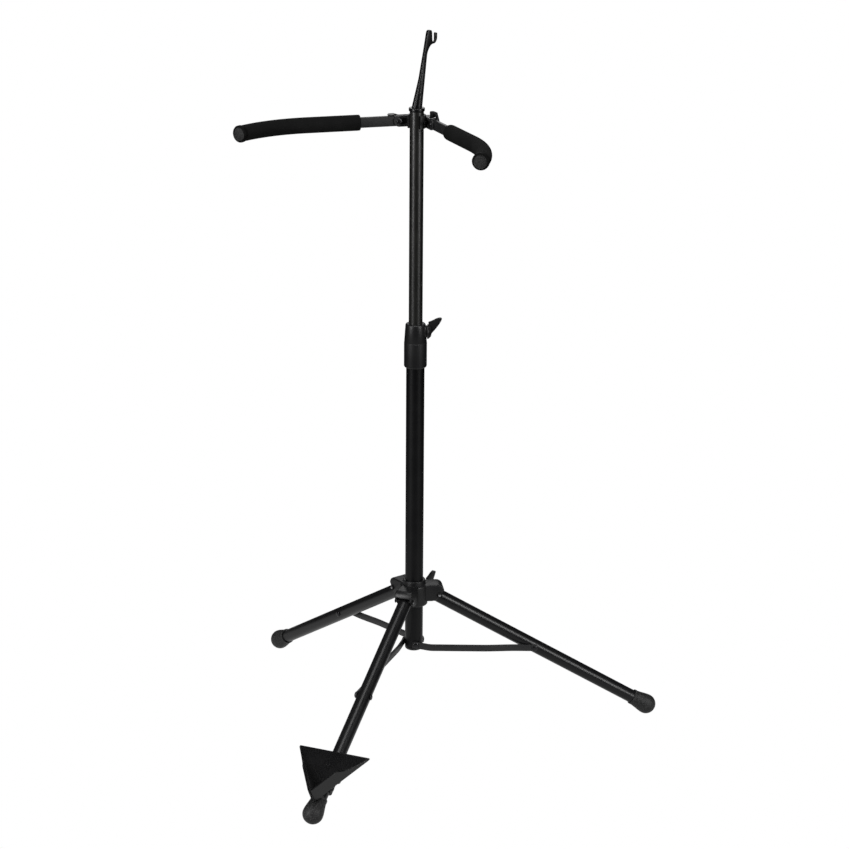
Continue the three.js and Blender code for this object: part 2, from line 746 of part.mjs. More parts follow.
// An arm's own frame: X runs along the arm, Y points away from the mast on the right arm
function armFrame(side) {
  const turn = side > 0 ? -armAngle : armAngle - Math.PI;
  const frame = new THREE.Group();
  frame.rotation.z = turn;
  frame.position.set(side * armOffset * Math.sin(armAngle), armOffset * Math.cos(armAngle), armHeight);
  frame.updateMatrix();
  return frame;
}

// Yoke bracket: a saddle on the back of the tube with two ears for each arm
function makeYoke() {
  const ring = pipe(saddleRadius, innerTubeRadius + gap, armHeight - saddleLow, armHeight + saddleRise);
  const reach = 2 * saddleRadius;
  const opening = new THREE.Shape([
    new THREE.Vector2(0, 0),
    new THREE.Vector2(-reach, -reach * Math.tan(saddleFront)),
    new THREE.Vector2(-reach, -2 * reach),
    new THREE.Vector2(reach, -2 * reach),
    new THREE.Vector2(reach, -reach * Math.tan(saddleFront)),
  ]);
  const front = slab(opening, reach + reach).translate(0, 0, armHeight - reach);
  const parts = [cut(ring, [front])];
  const cuts = [rod(innerTubeRadius + gap, armHeight - reach, armHeight + reach)];
  for (const side of [1, -1]) {
    const { matrix } = armFrame(side);
    const half = earHeight / 2;
    const ear = new THREE.Shape();
    ear.moveTo(blockStart, -half);
    ear.lineTo(armPivot, -half);
    ear.absarc(armPivot, 0, half, -quarterTurn, quarterTurn);
    ear.lineTo(blockStart, half);
    const solid = slab(ear, 2 * earOuter).rotateX(quarterTurn).translate(0, earOuter, 0);
    const slot = block([blockEnd, -earInner, -earHeight], [armPivot + earHeight, earInner, earHeight]);
    const hole = alongY(rod(rivetRadius + gap, -2 * earOuter, 2 * earOuter, smallSides));
    hole.translate(armPivot, 0, 0);
    parts.push(cut(solid, [slot, hole]).applyMatrix4(matrix));
  }
  cuts.push(alongX(rod(rivetRadius + gap, -reach, reach, smallSides)).translate(0, 0, armHeight));
  for (const side of [1, -1]) {
    const recess = rod(rivetHeadRadius + gap, saddleRadius, reach, smallSides);
    cuts.push(alongX(recess).rotateZ(side > 0 ? 0 : Math.PI).translate(0, 0, armHeight));
  }
  return cut(join(parts), cuts);
}

// The arm's middle line, seen from above in the arm's frame, from one distance to another
function armPoint(distance, bendSide) {
  if (distance <= armStraight) return new THREE.Vector3(distance, 0, 0);
  const angle = Math.min((distance - armStraight) / armBendRadius, armBend);
  const x = armStraight + armBendRadius * Math.sin(angle);
  const y = -bendSide * armBendRadius * (1 - Math.cos(angle));
  return new THREE.Vector3(x, y, 0);
}
const armLength = armStraight + armBendRadius * armBend;

function armPath(start, end, steps, bendSide) {
  const points = [];
  for (let i = 0; i <= steps; i += 1) points.push(armPoint(start + ((end - start) * i) / steps, bendSide));
  return new THREE.CatmullRomCurve3(points);
}

// Flat bar that follows the arm's middle line
function makeArmBar(bendSide) {
  const bendSteps = 10;
  const barEnd = armLength - gap;
  const stations = [armPivot - armRootEnd, armStraight];
  for (let i = 1; i <= bendSteps; i += 1) {
    stations.push(armStraight + ((barEnd - armStraight) * i) / bendSteps);
  }
  const edge = (side) => stations.map((distance) => {
    const point = armPoint(distance, bendSide);
    const turn = -bendSide * Math.max(0, (distance - armStraight) / armBendRadius);
    const half = (side * armThickness) / 2;
    return new THREE.Vector2(point.x - half * Math.sin(turn), point.y + half * Math.cos(turn));
  });
  const outline = new THREE.Shape([...edge(-1), ...edge(1).reverse()]);
  const bar = slab(outline, armBarHeight).translate(0, 0, -armBarHeight / 2);
  const hole = alongY(rod(rivetRadius + gap, -armBarHeight, armBarHeight, smallSides));
  hole.translate(armPivot, 0, 0);
  return cut(bar, [hole]);
}

// Foam sleeve round the bar
function makeFoam(bendSide) {
  const section = new THREE.Shape();
  section.absarc(0, 0, foamDiameter / 2, 0, fullTurn);
  const halfHeight = armBarHeight / 2 + gap;
  const halfWidth = armThickness / 2 + gap;
  const bore = new THREE.Path([
    new THREE.Vector2(-halfHeight, -halfWidth),
    new THREE.Vector2(-halfHeight, halfWidth),
    new THREE.Vector2(halfHeight, halfWidth),
    new THREE.Vector2(halfHeight, -halfWidth),
  ]);
  section.holes.push(bore);
  const path = armPath(foamStart, armLength - 3 * gap, foamSteps, bendSide);
  const foamSides = 8;
  const settings = { steps: foamSteps, extrudePath: path, curveSegments: foamSides };
  return new THREE.ExtrudeGeometry(section, settings);
}

// End cap with a socket for the end of the bar, made along Z
function makeArmCap(bendSide) {
  const rimShare = 0.35;
  const crownShare = 0.75;
  const cap = turned([
    [0, 0],
    [capRadius - gap, 0],
    [capRadius, capThickness * rimShare],
    [capRadius * crownShare, capThickness - gap],
    [0, capThickness],
  ]);
  const end = armPoint(armLength, bendSide);
  return alongX(cap).rotateZ(-bendSide * armBend).translate(end.x, end.y, 0);
}

// Lock lever: a disc on the outer ear and a thumb tab over the top of the ears
function makeLever(outward) {
  const inner = earOuter + gap;
  const outer = inner + leverThickness;
  const top = earHeight / 2 + gap + leverTabThickness;
  const web = roundedShape([
    [-leverDiscRadius, 0, leverDiscRadius / 2],
    [0, -leverDiscRadius, leverDiscRadius / 2],
    [leverDiscRadius, 0, leverDiscRadius / 2],
    [leverTabStart + leverDiscRadius, top, leverTabThickness],
    [leverTabStart, top],
    [-leverDiscRadius / 2, leverDiscRadius, leverDiscRadius / 2],
  ]);
  const cheek = slab(web, leverThickness).rotateX(quarterTurn).translate(0, outer, 0);
  const tabShape = roundedShape([
    [leverTabStart, leverTabInnerRoot],
    [leverTabStart + leverTabLength, leverTabInnerTip, leverTabThickness],
    [leverTabStart + leverTabLength, leverTabOuterTip, leverTabThickness],
    [leverTabStart + leverDiscRadius, outer],
    [leverTabStart, outer],
  ]);
  const tab = slab(tabShape, leverTabThickness).translate(0, 0, top - leverTabThickness);
  const lever = cut(join([cheek, tab]), [alongY(rod(rivetRadius + gap, 0, 2 * outer, smallSides))]);
  return outward > 0 ? lever : mirrorY(lever);
}

function mirrorY(geometry) {
  const mirrored = geometry.clone().scale(1, -1, 1);
  const index = mirrored.index.array;
  for (let i = 0; i < index.length; i += 3) [index[i], index[i + 1]] = [index[i + 1], index[i]];
  return mirrored;
}

// In the arm's frame the outside is +Y on the right arm and -Y on the left arm
function makeArm(mast, name, side) {
  const frame = armFrame(side);
  mast.add(frame);
  frame.add(piece(`arm_bar_${name}`, makeArmBar(side), blackEnamel));
  frame.add(piece(`foam_sleeve_${name}`, makeFoam(side), blackFoam));
  frame.add(piece(`arm_end_cap_${name}`, makeArmCap(side), blackRubber));
  const leverSeat = earOuter + 2 * gap + leverThickness;
  const shank = rod(rivetRadius, -earOuter - gap, leverSeat + gap, smallSides);
  const near = dome(rivetHeadRadius, rivetHeadHeight, leverSeat);
  const far = dome(rivetHeadRadius, rivetHeadHeight, earOuter + gap).rotateX(Math.PI);
  const pin = join([shank, near, far]).rotateX(-side * quarterTurn);
  frame.add(piece(`arm_pivot_pin_${name}`, pin.translate(armPivot, 0, 0), zincSteel));
  const pivot = frameAt(frame, [armPivot, 0, 0], [0, side > 0 ? -leverRaise : 0, 0]);
  pivot.add(piece(`arm_lock_lever_${name}`, makeLever(side), blackPlastic));
}

// Bow hook: outline of its plate, [distance along the plate, height over the flange, corner radius]
function hookOutline() {
  const prongIn = hookReach - hookProng;
  const mainIn = prongIn - hookSlot;
  const tipRight = mainIn - hookTipTaper;
  const tipLeft = tipRight - 2 * hookTipHalfWidth;
  const neckLeft = hookNeck * hookLean - hookNeckWidth / 2;
  const neckRight = neckLeft + hookNeckWidth;
  const prongTop = hookHeight - hookProngDrop;
  const waist = hookNeck / 2;
  return roundedShape([
    [-hookBaseHalfWidth, 0],
    [hookBaseHalfWidth, 0],
    [neckRight, hookNeck - hookFillet / 2, hookFillet],
    [neckRight + hookFillet, hookNeck + hookFillet, hookFillet / 2],
    [hookReach - hookFillet / 2, hookSlotBottom - hookFillet / 3, hookFillet / 3],
    [hookReach, hookSlotBottom + hookFillet / 2, hookFillet / 2],
    [hookReach, prongTop, hookProng / 2],
    [prongIn, prongTop, hookProng / 2],
    [prongIn, hookSlotBottom, hookSlot / 2],
    [mainIn, hookSlotBottom, hookSlot / 2],
    [tipRight, hookHeight, hookTipHalfWidth],
    [tipLeft, hookHeight, hookTipHalfWidth],
    [neckLeft, hookNeck],
    [waist * hookLean - hookBaseHalfWidth * hookWaistShare, waist],
  ]);
}

function makeBowHook() {
  const frame = frameAt(stand, [0, 0, mastTop], [0, 0, hookAzimuth]);
  const base = hookFlangeHeight;
  const plug = innerTubeBore - gap;
  const flange = turned([
    [0, -hookPlugLength],
    [plug - gap, -hookPlugLength],
    [plug, gap - hookPlugLength],
    [plug, gap],
    [hookFlangeRadius - gap, gap],
    [hookFlangeRadius, 2 * gap],
    [hookFlangeRadius, base - 2 * gap],
    [hookFlangeRadius - 3 * gap, base],
    [0, base],
  ]);
  const plate = slab(hookOutline(), hookThickness).rotateX(quarterTurn);
  plate.translate(0, hookThickness / 2, base - gap);
  const ribShape = roundedShape([
    [-hookRibHalfWidth, 0],
    [hookRibHalfWidth, 0],
    [hookThickness / 4, hookNeck],
    [-hookThickness / 4, hookNeck],
  ]);
  const rib = slab(ribShape, hookRibThickness).rotateX(quarterTurn).translate(0, hookRibThickness / 2, 0);
  rib.rotateZ(quarterTurn);
  const lean = new THREE.Matrix4().makeShear(0, 0, 0, 0, hookLean, 0);
  rib.applyMatrix4(lean).translate(0, 0, base - gap);
  frame.add(piece('bow_hook', join([flange, plate, rib]), blackPlastic));
}

// End pin tray: a bent plate with a wall along each slanted side, on the front leg's frame
function makeTray() {
  const frame = legFrame(frontAzimuth);
  frame.add(piece('end_pin_tray', makeTrayPlate(), blackEnamel));
  frame.add(piece('tray_saddle', makeTraySaddle(), blackPlastic));
  trayScrewPlaces.forEach(([x, z], i) => {
    const seat = saddleBlockHalfWidth + gap;
    const shank = rod(rivetRadius, legRadius + 2 * gap, seat + trayScrewHeadHeight / 2, smallSides);
    const head = dome(trayScrewHead, trayScrewHeadHeight, seat);
    const screw = alongY(join([shank, head])).translate(x, 0, z);
    frame.add(piece(`tray_screw_${i + 1}`, screw, zincSteel));
  });
  trayBoltPlaces().forEach((x, i) => {
    const bolt = trayBolt(0, trayUnder - trayBoltDepth, trayUnder + trayPlate);
    frame.add(piece(`tray_rivet_${i + 1}`, bolt.translate(x, 0, 0), blackEnamel));
  });
}

// A countersunk rivet of the tray, or with a margin the hole for it
function trayBolt(margin, low, high) {
  return turned([
    [0, low],
    [trayBoltRadius + margin, low],
    [trayBoltRadius + margin, high - trayBoltHeadHeight],
    [trayBoltHead + margin, high],
    [0, high],
  ], smallSides);
}

function trayBoltPlaces() {
  const middle = (saddleBlockStart + saddleBlockEnd) / 2;
  return [-trayBoltSpacing / 2, trayBoltSpacing / 2].map((shift) => middle + shift);
}

function makeTrayPlate() {
  const back = trayPoint - trayLength;
  const sideLength = Math.hypot(trayLength, trayHalfWidth);
  const sideAngle = Math.atan2(trayHalfWidth, trayLength);
  const lapSide = (trayPlate - trayFold) / Math.cos(sideAngle);
  const lapPoint = (trayPlate - trayFold) / Math.sin(sideAngle);
  const floorShape = roundedShape([
    [back, -trayHalfWidth - lapSide, trayCorner],
    [trayPoint + lapPoint, 0, trayCorner],
    [back, trayHalfWidth + lapSide, trayCorner],
  ]);
  const parts = [slab(floorShape, trayPlate)];
  // [share of the wall's length from the front corner, share of its height]
  const wallShares = [[0.46, 1], [0.58, 0.56], [0.8, 0.3]];
  for (const side of [1, -1]) {
    const wall = roundedShape([
      [traySlit, trayFold],
      [traySlit, trayWall, trayCorner],
      ...wallShares.map(([along, high], i) => [sideLength * along, trayWall * high, trayWallBends[i]]),
      [sideLength - trayCorner, 2 * trayPlate, trayPlate / 2],
      [sideLength - trayCorner, trayFold],
    ]);
    const plate = slab(wall, trayPlate).rotateX(quarterTurn);
    if (side < 0) plate.translate(0, trayPlate, 0);
    plate.rotateZ(Math.PI - side * sideAngle).translate(trayPoint, 0, 0);
    parts.push(plate);
  }
  const holes = trayBoltPlaces().map((x) => trayBolt(gap, -overrun, trayPlate).translate(x, 0, 0));
  return cut(join(parts), holes).translate(0, 0, trayUnder);
}

// Plastic saddle under the tray that slides on the leg
function makeTraySaddle() {
  const top = trayUnder - gap;
  const low = -legAxisDrop - legRadius - saddleBlockUnder;
  const section = roundedShape([
    [-saddleBlockHalfWidth, low, saddleBlockEdge],
    [saddleBlockHalfWidth, low, saddleBlockEdge],
    [saddleBlockHalfWidth, top],
    [-saddleBlockHalfWidth, top],
  ]);
  const length = saddleBlockEnd - saddleBlockStart;
  const body = slab(section, length).rotateX(quarterTurn).rotateZ(quarterTurn);
  body.translate(saddleBlockStart, 0, 0);
  const bore = alongX(rod(legRadius + gap, 0, 2 * footEnd)).translate(0, 0, -legAxisDrop);
  const hole = alongY(rod(rivetRadius + gap, legRadius / 2, 2 * saddleBlockHalfWidth, smallSides));
  const cuts = [bore, ...trayScrewPlaces.map(([x, z]) => hole.clone().translate(x, 0, z))];
  for (const x of trayBoltPlaces()) {
    const depth = trayUnder - trayBoltDepth - gap;
    const socket = rod(trayBoltRadius + gap, depth, trayUnder + overrun, smallSides);
    cuts.push(socket.translate(x, 0, 0));
  }
  return cut(body, cuts);
}

makeColumn();
makePlug();
makeHub();
makeClamp();
makeThumbscrews();
makeLegs();
makeMast();
makeTray();

// The origin is the centre of the stand's base
const group = new THREE.Group();
group.add(stand);
group.updateMatrixWorld(true);
const bounds = new THREE.Box3().setFromObject(group, true);
const centre = bounds.getCenter(new THREE.Vector3());
stand.position.set(-centre.x, -centre.y, -bounds.min.z);

export default group;
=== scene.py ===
# %% [markdown]
# # A cello stand in black enamel, plastic, rubber and foam
# A cello stand is a folding tripod with a column in two parts. Two padded arms hold the cello's body, a
# hook on top takes the bow, and a small tray on the front leg takes the end pin. The stand's plain solids
# are loaded as a fixed frame, each on the body that it moves with. Modelling the stand anew would lose that
# motion, so finer pieces are modelled over the solids and only the look changes.

# %% Load the frame
import bpy
import json
from math import atan2, cos, hypot, pi, radians, sin
from mathutils import Euler, Matrix, Vector

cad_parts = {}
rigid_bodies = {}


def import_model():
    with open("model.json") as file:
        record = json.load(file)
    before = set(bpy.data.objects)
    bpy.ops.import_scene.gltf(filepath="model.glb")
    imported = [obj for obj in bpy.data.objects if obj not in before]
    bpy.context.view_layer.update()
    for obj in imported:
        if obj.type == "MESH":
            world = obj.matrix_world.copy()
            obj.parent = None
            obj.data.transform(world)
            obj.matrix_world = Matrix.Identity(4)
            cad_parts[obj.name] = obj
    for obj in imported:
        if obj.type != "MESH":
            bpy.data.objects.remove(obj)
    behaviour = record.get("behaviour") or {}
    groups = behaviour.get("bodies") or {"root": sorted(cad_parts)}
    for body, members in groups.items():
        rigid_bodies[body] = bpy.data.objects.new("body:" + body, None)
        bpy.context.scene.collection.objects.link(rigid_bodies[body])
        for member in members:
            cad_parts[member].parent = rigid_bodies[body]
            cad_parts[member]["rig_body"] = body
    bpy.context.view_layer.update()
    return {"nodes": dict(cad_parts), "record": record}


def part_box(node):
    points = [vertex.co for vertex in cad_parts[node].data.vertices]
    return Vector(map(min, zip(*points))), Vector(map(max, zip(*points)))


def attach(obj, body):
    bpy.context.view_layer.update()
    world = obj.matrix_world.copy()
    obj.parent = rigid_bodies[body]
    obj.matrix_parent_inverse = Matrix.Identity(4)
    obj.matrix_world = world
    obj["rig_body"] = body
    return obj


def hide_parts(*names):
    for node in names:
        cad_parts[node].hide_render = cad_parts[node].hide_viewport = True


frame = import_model()

# %% [markdown]
# ## Where the pieces stand
# On the real stand everything is set out from the column. Pieces could be drawn where they stand, but then
# the numbers of one leg would serve that leg alone. So each piece is drawn about its own axis, in
# millimetres, and moved to its place by a matrix.

# %% Directions and places
MM = 0.001
low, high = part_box("outer_tube")
AXIS = Vector(((low[0] + high[0]) / 2, (low[1] + high[1]) / 2, 0))
AZIMUTHS = {"front": radians(-90), "right": radians(30), "left": radians(150)}
LEG_SLOPE = radians(31)
LEG_PIVOT_REACH = 35.0
LEG_PIVOT_HEIGHT = 202.8


def shift(x=0.0, y=0.0, z=0.0):
    """A move in millimetres."""
    return Matrix.Translation((x * MM, y * MM, z * MM))


def turn(angle, axis="Z"):
    """A turn by radians about one axis."""
    return Matrix.Rotation(angle, 4, axis)


# These lay a piece that was drawn on Z along X or along Y, or stand a flat piece upright
ALONG_X = turn(pi / 2, "Y")
ALONG_Y = turn(-pi / 2, "X")
UPRIGHT = turn(pi / 2, "X")
# This one turns a knob's axis away from the column and its X side upwards
FACING_OUT = Matrix(((0, 0, 1, 0), (0, -1, 0, 0), (1, 0, 0, 0), (0, 0, 0, 1)))


def column_place(height=0.0, azimuth=0.0):
    """A place on the column's axis, turned about it."""
    return Matrix.Translation(AXIS + Vector((0, 0, height * MM))) @ turn(azimuth)


def to_each_leg(place):
    """A place in the hub or the plug, turned towards each of the three legs."""
    return [turn(azimuth) @ place for azimuth in AZIMUTHS.values()]


def leg_place(name):
    """The frame of a leg: X runs down the leg from its pivot, Z is square to it, upwards."""
    pivot = shift(LEG_PIVOT_REACH, 0, LEG_PIVOT_HEIGHT)
    return column_place(0, AZIMUTHS[name]) @ pivot @ turn(LEG_SLOPE, "Y")


print("column axis", [round(v, 5) for v in AXIS])

# %% [markdown]
# ## Starting, settling and copying
# By hand, a piece begins with nothing selected and ends with its place applied, so that its object sits at
# the origin, as the export and the finishes need it. What the stand has several times is modelled once and
# copied, and each copy has a mesh of its own.

# %% Start, settle and copy


def begin():
    """Leaves edit mode and clears the selection."""
    if bpy.context.object and bpy.context.object.mode != "OBJECT":
        bpy.ops.object.mode_set(mode="OBJECT")
    bpy.ops.object.select_all(action="DESELECT")


def settle(obj, name, place, smooth=35):
    """Names the object, puts its place into its mesh and smooths its round faces."""
    obj.name = name
    obj.matrix_world = place
    bpy.ops.object.select_all(action="DESELECT")
    obj.select_set(True)
    bpy.context.view_layer.objects.active = obj
    bpy.ops.object.transform_apply(location=True, rotation=True, scale=True)
    bpy.ops.object.shade_smooth_by_angle(angle=radians(smooth))
    return obj


def placed(obj, place):
    """Puts a place into the mesh of a part that will be joined or cut away."""
    return settle(obj, obj.name, place)


def copies(obj, count):
    """The piece and its copies, each with its own mesh."""
    made = [obj]
    while len(made) < count:
        twin = obj.copy()
        twin.data = obj.data.copy()
        bpy.context.collection.objects.link(twin)
        made.append(twin)
    return made


def at_each(obj, places):
    """The piece and its copies, one at each place."""
    return [placed(piece, place) for piece, place in zip(copies(obj, len(places)), places)]


print("helpers: begin, settle, placed, copies, at_each")

# %% [markdown]
# ## Rounding, joining and cutting
# Moulded and stamped pieces have small rounded edges that catch the light. They could be bevelled one by
# one in edit mode. The Bevel modifier finds them by their angle instead, and the Boolean modifier joins and
# cuts whole shapes.

# %% Modifiers


def apply_all(obj):
    """Applies the object's modifiers in order."""
    bpy.context.view_layer.objects.active = obj
    for modifier in list(obj.modifiers):
        bpy.ops.object.modifier_apply(modifier=modifier.name)
    return obj


def bevel(obj, width, segments=2, angle=40):
    """Rounds the edges that are sharper than an angle, by a width in millimetres."""
    modifier = obj.modifiers.new("edge", "BEVEL")
    modifier.width = width * MM
    modifier.segments = segments
    modifier.limit_method = "ANGLE"
    modifier.angle_limit = radians(angle)
    return apply_all(obj)


def boolean(obj, tools, operation):
    """Joins tools to the object, cuts them from it or keeps what they share, and removes them."""
    for tool in tools:
        modifier = obj.modifiers.new("boolean", "BOOLEAN")
        modifier.operation = operation
        modifier.solver = "EXACT"
        modifier.object = tool
        apply_all(obj)
        bpy.data.objects.remove(tool)
    return obj


print("helpers: bevel, boolean")

# %% [markdown]
# ## Turned pieces
# Tubes, feet, knobs and rivets are round. A profile under a Screw modifier would turn them too. Here a
# circle is extruded and resized ring by ring, which leaves no seam to merge and closes the ends as it goes.

# %% Turn a piece


def turned(profile, sides=96, closed=False):
    """A turned piece on Z from a list of (radius, height). A closed profile makes a ring."""
    begin()
    (radius, height) = profile[0]
    fill = "NOTHING" if closed else "NGON"
    bpy.ops.mesh.primitive_circle_add(vertices=sides, radius=radius * MM, fill_type=fill, location=(0, 0, 0))
    obj = bpy.context.object
    bpy.ops.object.mode_set(mode="EDIT")
    bpy.ops.mesh.select_all(action="SELECT")
    bpy.ops.transform.translate(value=(0, 0, height * MM))
    for (next_radius, next_height) in profile[1:]:
        step = (0, 0, (next_height - height) * MM)
        bpy.ops.mesh.extrude_region_move(TRANSFORM_OT_translate={"value": step})
        ratio = next_radius / radius
        bpy.ops.transform.resize(value=(ratio, ratio, 1))
        (radius, height) = (next_radius, next_height)
    if closed:
        bpy.ops.mesh.select_all(action="DESELECT")
        bpy.ops.mesh.select_non_manifold()
        bpy.ops.mesh.bridge_edge_loops()
    bpy.ops.mesh.select_all(action="SELECT")
    bpy.ops.mesh.normals_make_consistent(inside=False)
    bpy.ops.object.mode_set(mode="OBJECT")
    return obj


def rod(radius, start, end, sides=48):
    """A plain rod on Z, which serves as a cutter."""
    return turned([(radius, start), (radius, end)], sides)


def arc(radius, centre, start, end, steps=5):
    """Points of a round stretch, with the angles in degrees and the centre as (radius, height)."""
    angles = [radians(start + (end - start) * i / steps) for i in range(steps + 1)]
    return [(centre[0] + radius * cos(a), centre[1] + radius * sin(a)) for a in angles]


print("helpers: turned, rod, arc")

# %% [markdown]
# ## Cut pieces
# Braces, lugs, levers, the hook and the tray are flat pieces with an outline. They could start as curves
# with a thickness. One vertex that is extruded along the outline is a mesh from the start, and the outline
# needs only its corners, each with the size of its rounding.

# %% Cut a piece from an outline


def cut_out(outline, thickness, start=0.0):
    """A flat piece in the XY plane from an outline, as thick as given along Z."""
    begin()
    bpy.ops.mesh.primitive_plane_add(size=MM, location=(0, 0, 0))
    obj = bpy.context.object
    bpy.ops.object.mode_set(mode="EDIT")
    bpy.ops.mesh.select_all(action="SELECT")
    bpy.ops.mesh.merge(type="CENTER")
    (x, y) = outline[0]
    bpy.ops.transform.translate(value=(x * MM, y * MM, start * MM))
    for (next_x, next_y) in outline[1:]:
        step = ((next_x - x) * MM, (next_y - y) * MM, 0)
        bpy.ops.mesh.extrude_vertices_move(TRANSFORM_OT_translate={"value": step})
        (x, y) = (next_x, next_y)
    bpy.ops.mesh.select_all(action="SELECT")
    bpy.ops.mesh.edge_face_add()
    bpy.ops.mesh.extrude_region_move(TRANSFORM_OT_translate={"value": (0, 0, thickness * MM)})
    bpy.ops.mesh.select_all(action="SELECT")
    bpy.ops.mesh.normals_make_consistent(inside=False)
    bpy.ops.object.mode_set(mode="OBJECT")
    return obj


def rounded(corners, steps=5):
    """An outline whose corners (x, y, rounding) are replaced by short curves."""
    points = []
    for i, (x, y, rounding) in enumerate(corners):
        here = Vector((x, y))
        if rounding == 0:
            points.append((x, y))
            continue
        back = (Vector(corners[i - 1][:2]) - here).normalized() * rounding
        ahead = (Vector(corners[(i + 1) % len(corners)][:2]) - here).normalized() * rounding
        for k in range(steps + 1):
            t = k / steps
            point = here + back * (1 - t) ** 2 + ahead * t ** 2
            points.append((point.x, point.y))
    return points


def block(low_corner, high_corner):
    """A box between two corners."""
    begin()
    bpy.ops.mesh.primitive_cube_add(size=1, location=(0, 0, 0))
    obj = bpy.context.object
    obj.scale = [(b - a) * MM for a, b in zip(low_corner, high_corner)]
    obj.location = [(a + b) / 2 * MM for a, b in zip(low_corner, high_corner)]
    bpy.ops.object.transform_apply(location=True, rotation=True, scale=True)
    return obj


print("helpers: cut_out, rounded, block")

# %% [markdown]
# ## How a finish is made
# The whole stand is black, so its pieces are told apart by how they shine. Pictures of each surface would
# need unwrapping and carry their own light. So the finishes are procedural: a broad noise mottles two near
# colours, a fine one in the size of the grain gives the bump, and both vary the roughness.

# %% Material helpers
# A blotch of the mottling is about 29 mm wide, so 35 of them fill a metre
BLOTCHES_PER_METRE = 35.0
# Noise values lie mostly between these two
NOISE_LOW = 0.3
NOISE_HIGH = 0.7
# Only the tops of the grain, above the first of these values, show as lighter specks
SPECK_START = 0.5
SPECK_FULL = 0.68
# The pores of a foam are this many grains wide
PORE_WIDTH = 1.25


def linear(code):
    """A hex colour as linear values."""
    values = [int(code[i:i + 2], 16) / 255 for i in (1, 3, 5)]
    return [v / 12.92 if v <= 0.04045 else ((v + 0.055) / 1.055) ** 2.4 for v in values] + [1.0]


def add(tree, kind, inputs=None, **settings):
    """Adds a node, sets its properties and either joins or sets its inputs."""
    made = tree.nodes.new(kind)
    for key, value in settings.items():
        setattr(made, key, value)
    for key, value in (inputs or {}).items():
        if isinstance(value, bpy.types.NodeSocket):
            tree.links.new(value, made.inputs[key])
        else:
            made.inputs[key].default_value = value
    return made


def colour_of(tree, colours, broad, fine, speckle):
    """The mottled colour, with specks of a third colour on the tops of the grain if there is one."""
    mottling = {"Value": broad, "From Min": NOISE_LOW, "From Max": NOISE_HIGH}
    share = add(tree, "ShaderNodeMapRange", mottling).outputs["Result"]
    mixed = {0: share, 6: linear(colours[0]), 7: linear(colours[1])}
    colour = add(tree, "ShaderNodeMix", mixed, data_type="RGBA").outputs[2]
    if speckle:
        specks = {"Value": fine, "From Min": SPECK_START, "From Max": SPECK_FULL}
        share = add(tree, "ShaderNodeMapRange", specks).outputs["Result"]
        mixed = {0: share, 6: colour, 7: linear(speckle)}
        colour = add(tree, "ShaderNodeMix", mixed, data_type="RGBA").outputs[2]
    return colour


def make_finish(name, colours, roughness, grain, depth, specular=0.5, metallic=0.0, speckle=None,
                pores=False):
    """A finish with two colours, a range of roughness, and a grain whose size and depth are in mm."""
    material = bpy.data.materials.new(name)
    material.use_nodes = True
    tree = material.node_tree
    shader = tree.nodes["Principled BSDF"]
    where = add(tree, "ShaderNodeTexCoord").outputs["Object"]
    blotches = {"Vector": where, "Scale": BLOTCHES_PER_METRE, "Detail": 4.0}
    broad = add(tree, "ShaderNodeTexNoise", blotches).outputs["Fac"]
    grains = {"Vector": where, "Scale": 1 / (grain * MM), "Detail": 3.0}
    fine = add(tree, "ShaderNodeTexNoise", grains).outputs["Fac"]
    height = fine
    if pores:
        cells = add(tree, "ShaderNodeTexVoronoi", {"Vector": where, "Scale": 1 / (PORE_WIDTH * grain * MM)})
        both = add(tree, "ShaderNodeMath", {0: cells.outputs["Distance"], 1: fine}, operation="ADD")
        height = both.outputs["Value"]
    tree.links.new(colour_of(tree, colours, broad, fine, speckle), shader.inputs["Base Color"])
    evened = add(tree, "ShaderNodeMix", {0: 0.5, 2: broad, 3: fine}).outputs[0]
    limits = {"From Min": NOISE_LOW, "From Max": NOISE_HIGH, "To Min": roughness[0], "To Max": roughness[1]}
    shine = add(tree, "ShaderNodeMapRange", {"Value": evened, **limits}).outputs["Result"]
    tree.links.new(shine, shader.inputs["Roughness"])
    bump = add(tree, "ShaderNodeBump", {"Height": height, "Strength": 1.0, "Distance": depth * MM})
    tree.links.new(bump.outputs["Normal"], shader.inputs["Normal"])
    shader.inputs["Metallic"].default_value = metallic
    shader.inputs["Specular IOR Level"].default_value = specular
    print("finish", name)
    return material


print("helpers: linear, add, make_finish")

# %% [markdown]
# ## Powder coat and enamel
# The steel is powder coated: dry paint is blown on, baked, and flows into a skin with a faint orange peel.
# One black could serve all of it, but the photograph shows five, from the deep black outer tube to the dull
# flat bars. The legs' black is the outer tube's coat with its colour painted lighter, as painted light for
# the light that the legs catch. The waves of the peel are about a millimetre wide and at most two hundredths
# deep.

# %% Coats of the steel
# The column's outer tube: nearly black, with a soft, narrow streak of light
outer_enamel = make_finish("satin black powder coat", ("#020203", "#060607"), (0.36, 0.46),
                           grain=0.9, depth=0.006, specular=0.22)
# The legs: the same coat, polished a little by handling, so that their streak is sharper. Its base colour is
# painted lighter than the outer tube's, as painted light for the extra light that the sloping legs catch
# from above.
lit_leg_enamel = make_finish("black powder coat with painted light", ("#0d0d0e", "#131314"), (0.27, 0.35),
                         grain=0.9, depth=0.002, specular=0.25)
# The inner tube: a greyer coat, which stands out from the outer tube's
inner_enamel = make_finish("satin grey-black powder coat", ("#0b0b0a", "#131311"), (0.31, 0.4),
                           grain=0.9, depth=0.006, specular=0.55)
# The arm bars, the braces and the yoke: a dull coat, whose light spreads over the whole face
flat_enamel = make_finish("matt black powder coat", ("#0f0f10", "#171718"), (0.42, 0.54),
                          grain=0.7, depth=0.02)
# The tray and its rivets: a gloss coat, deep black on the floor and grey where the walls catch light
tray_enamel = make_finish("gloss black enamel", ("#030304", "#060607"), (0.24, 0.32),
                          grain=1.4, depth=0.004, specular=0.3)

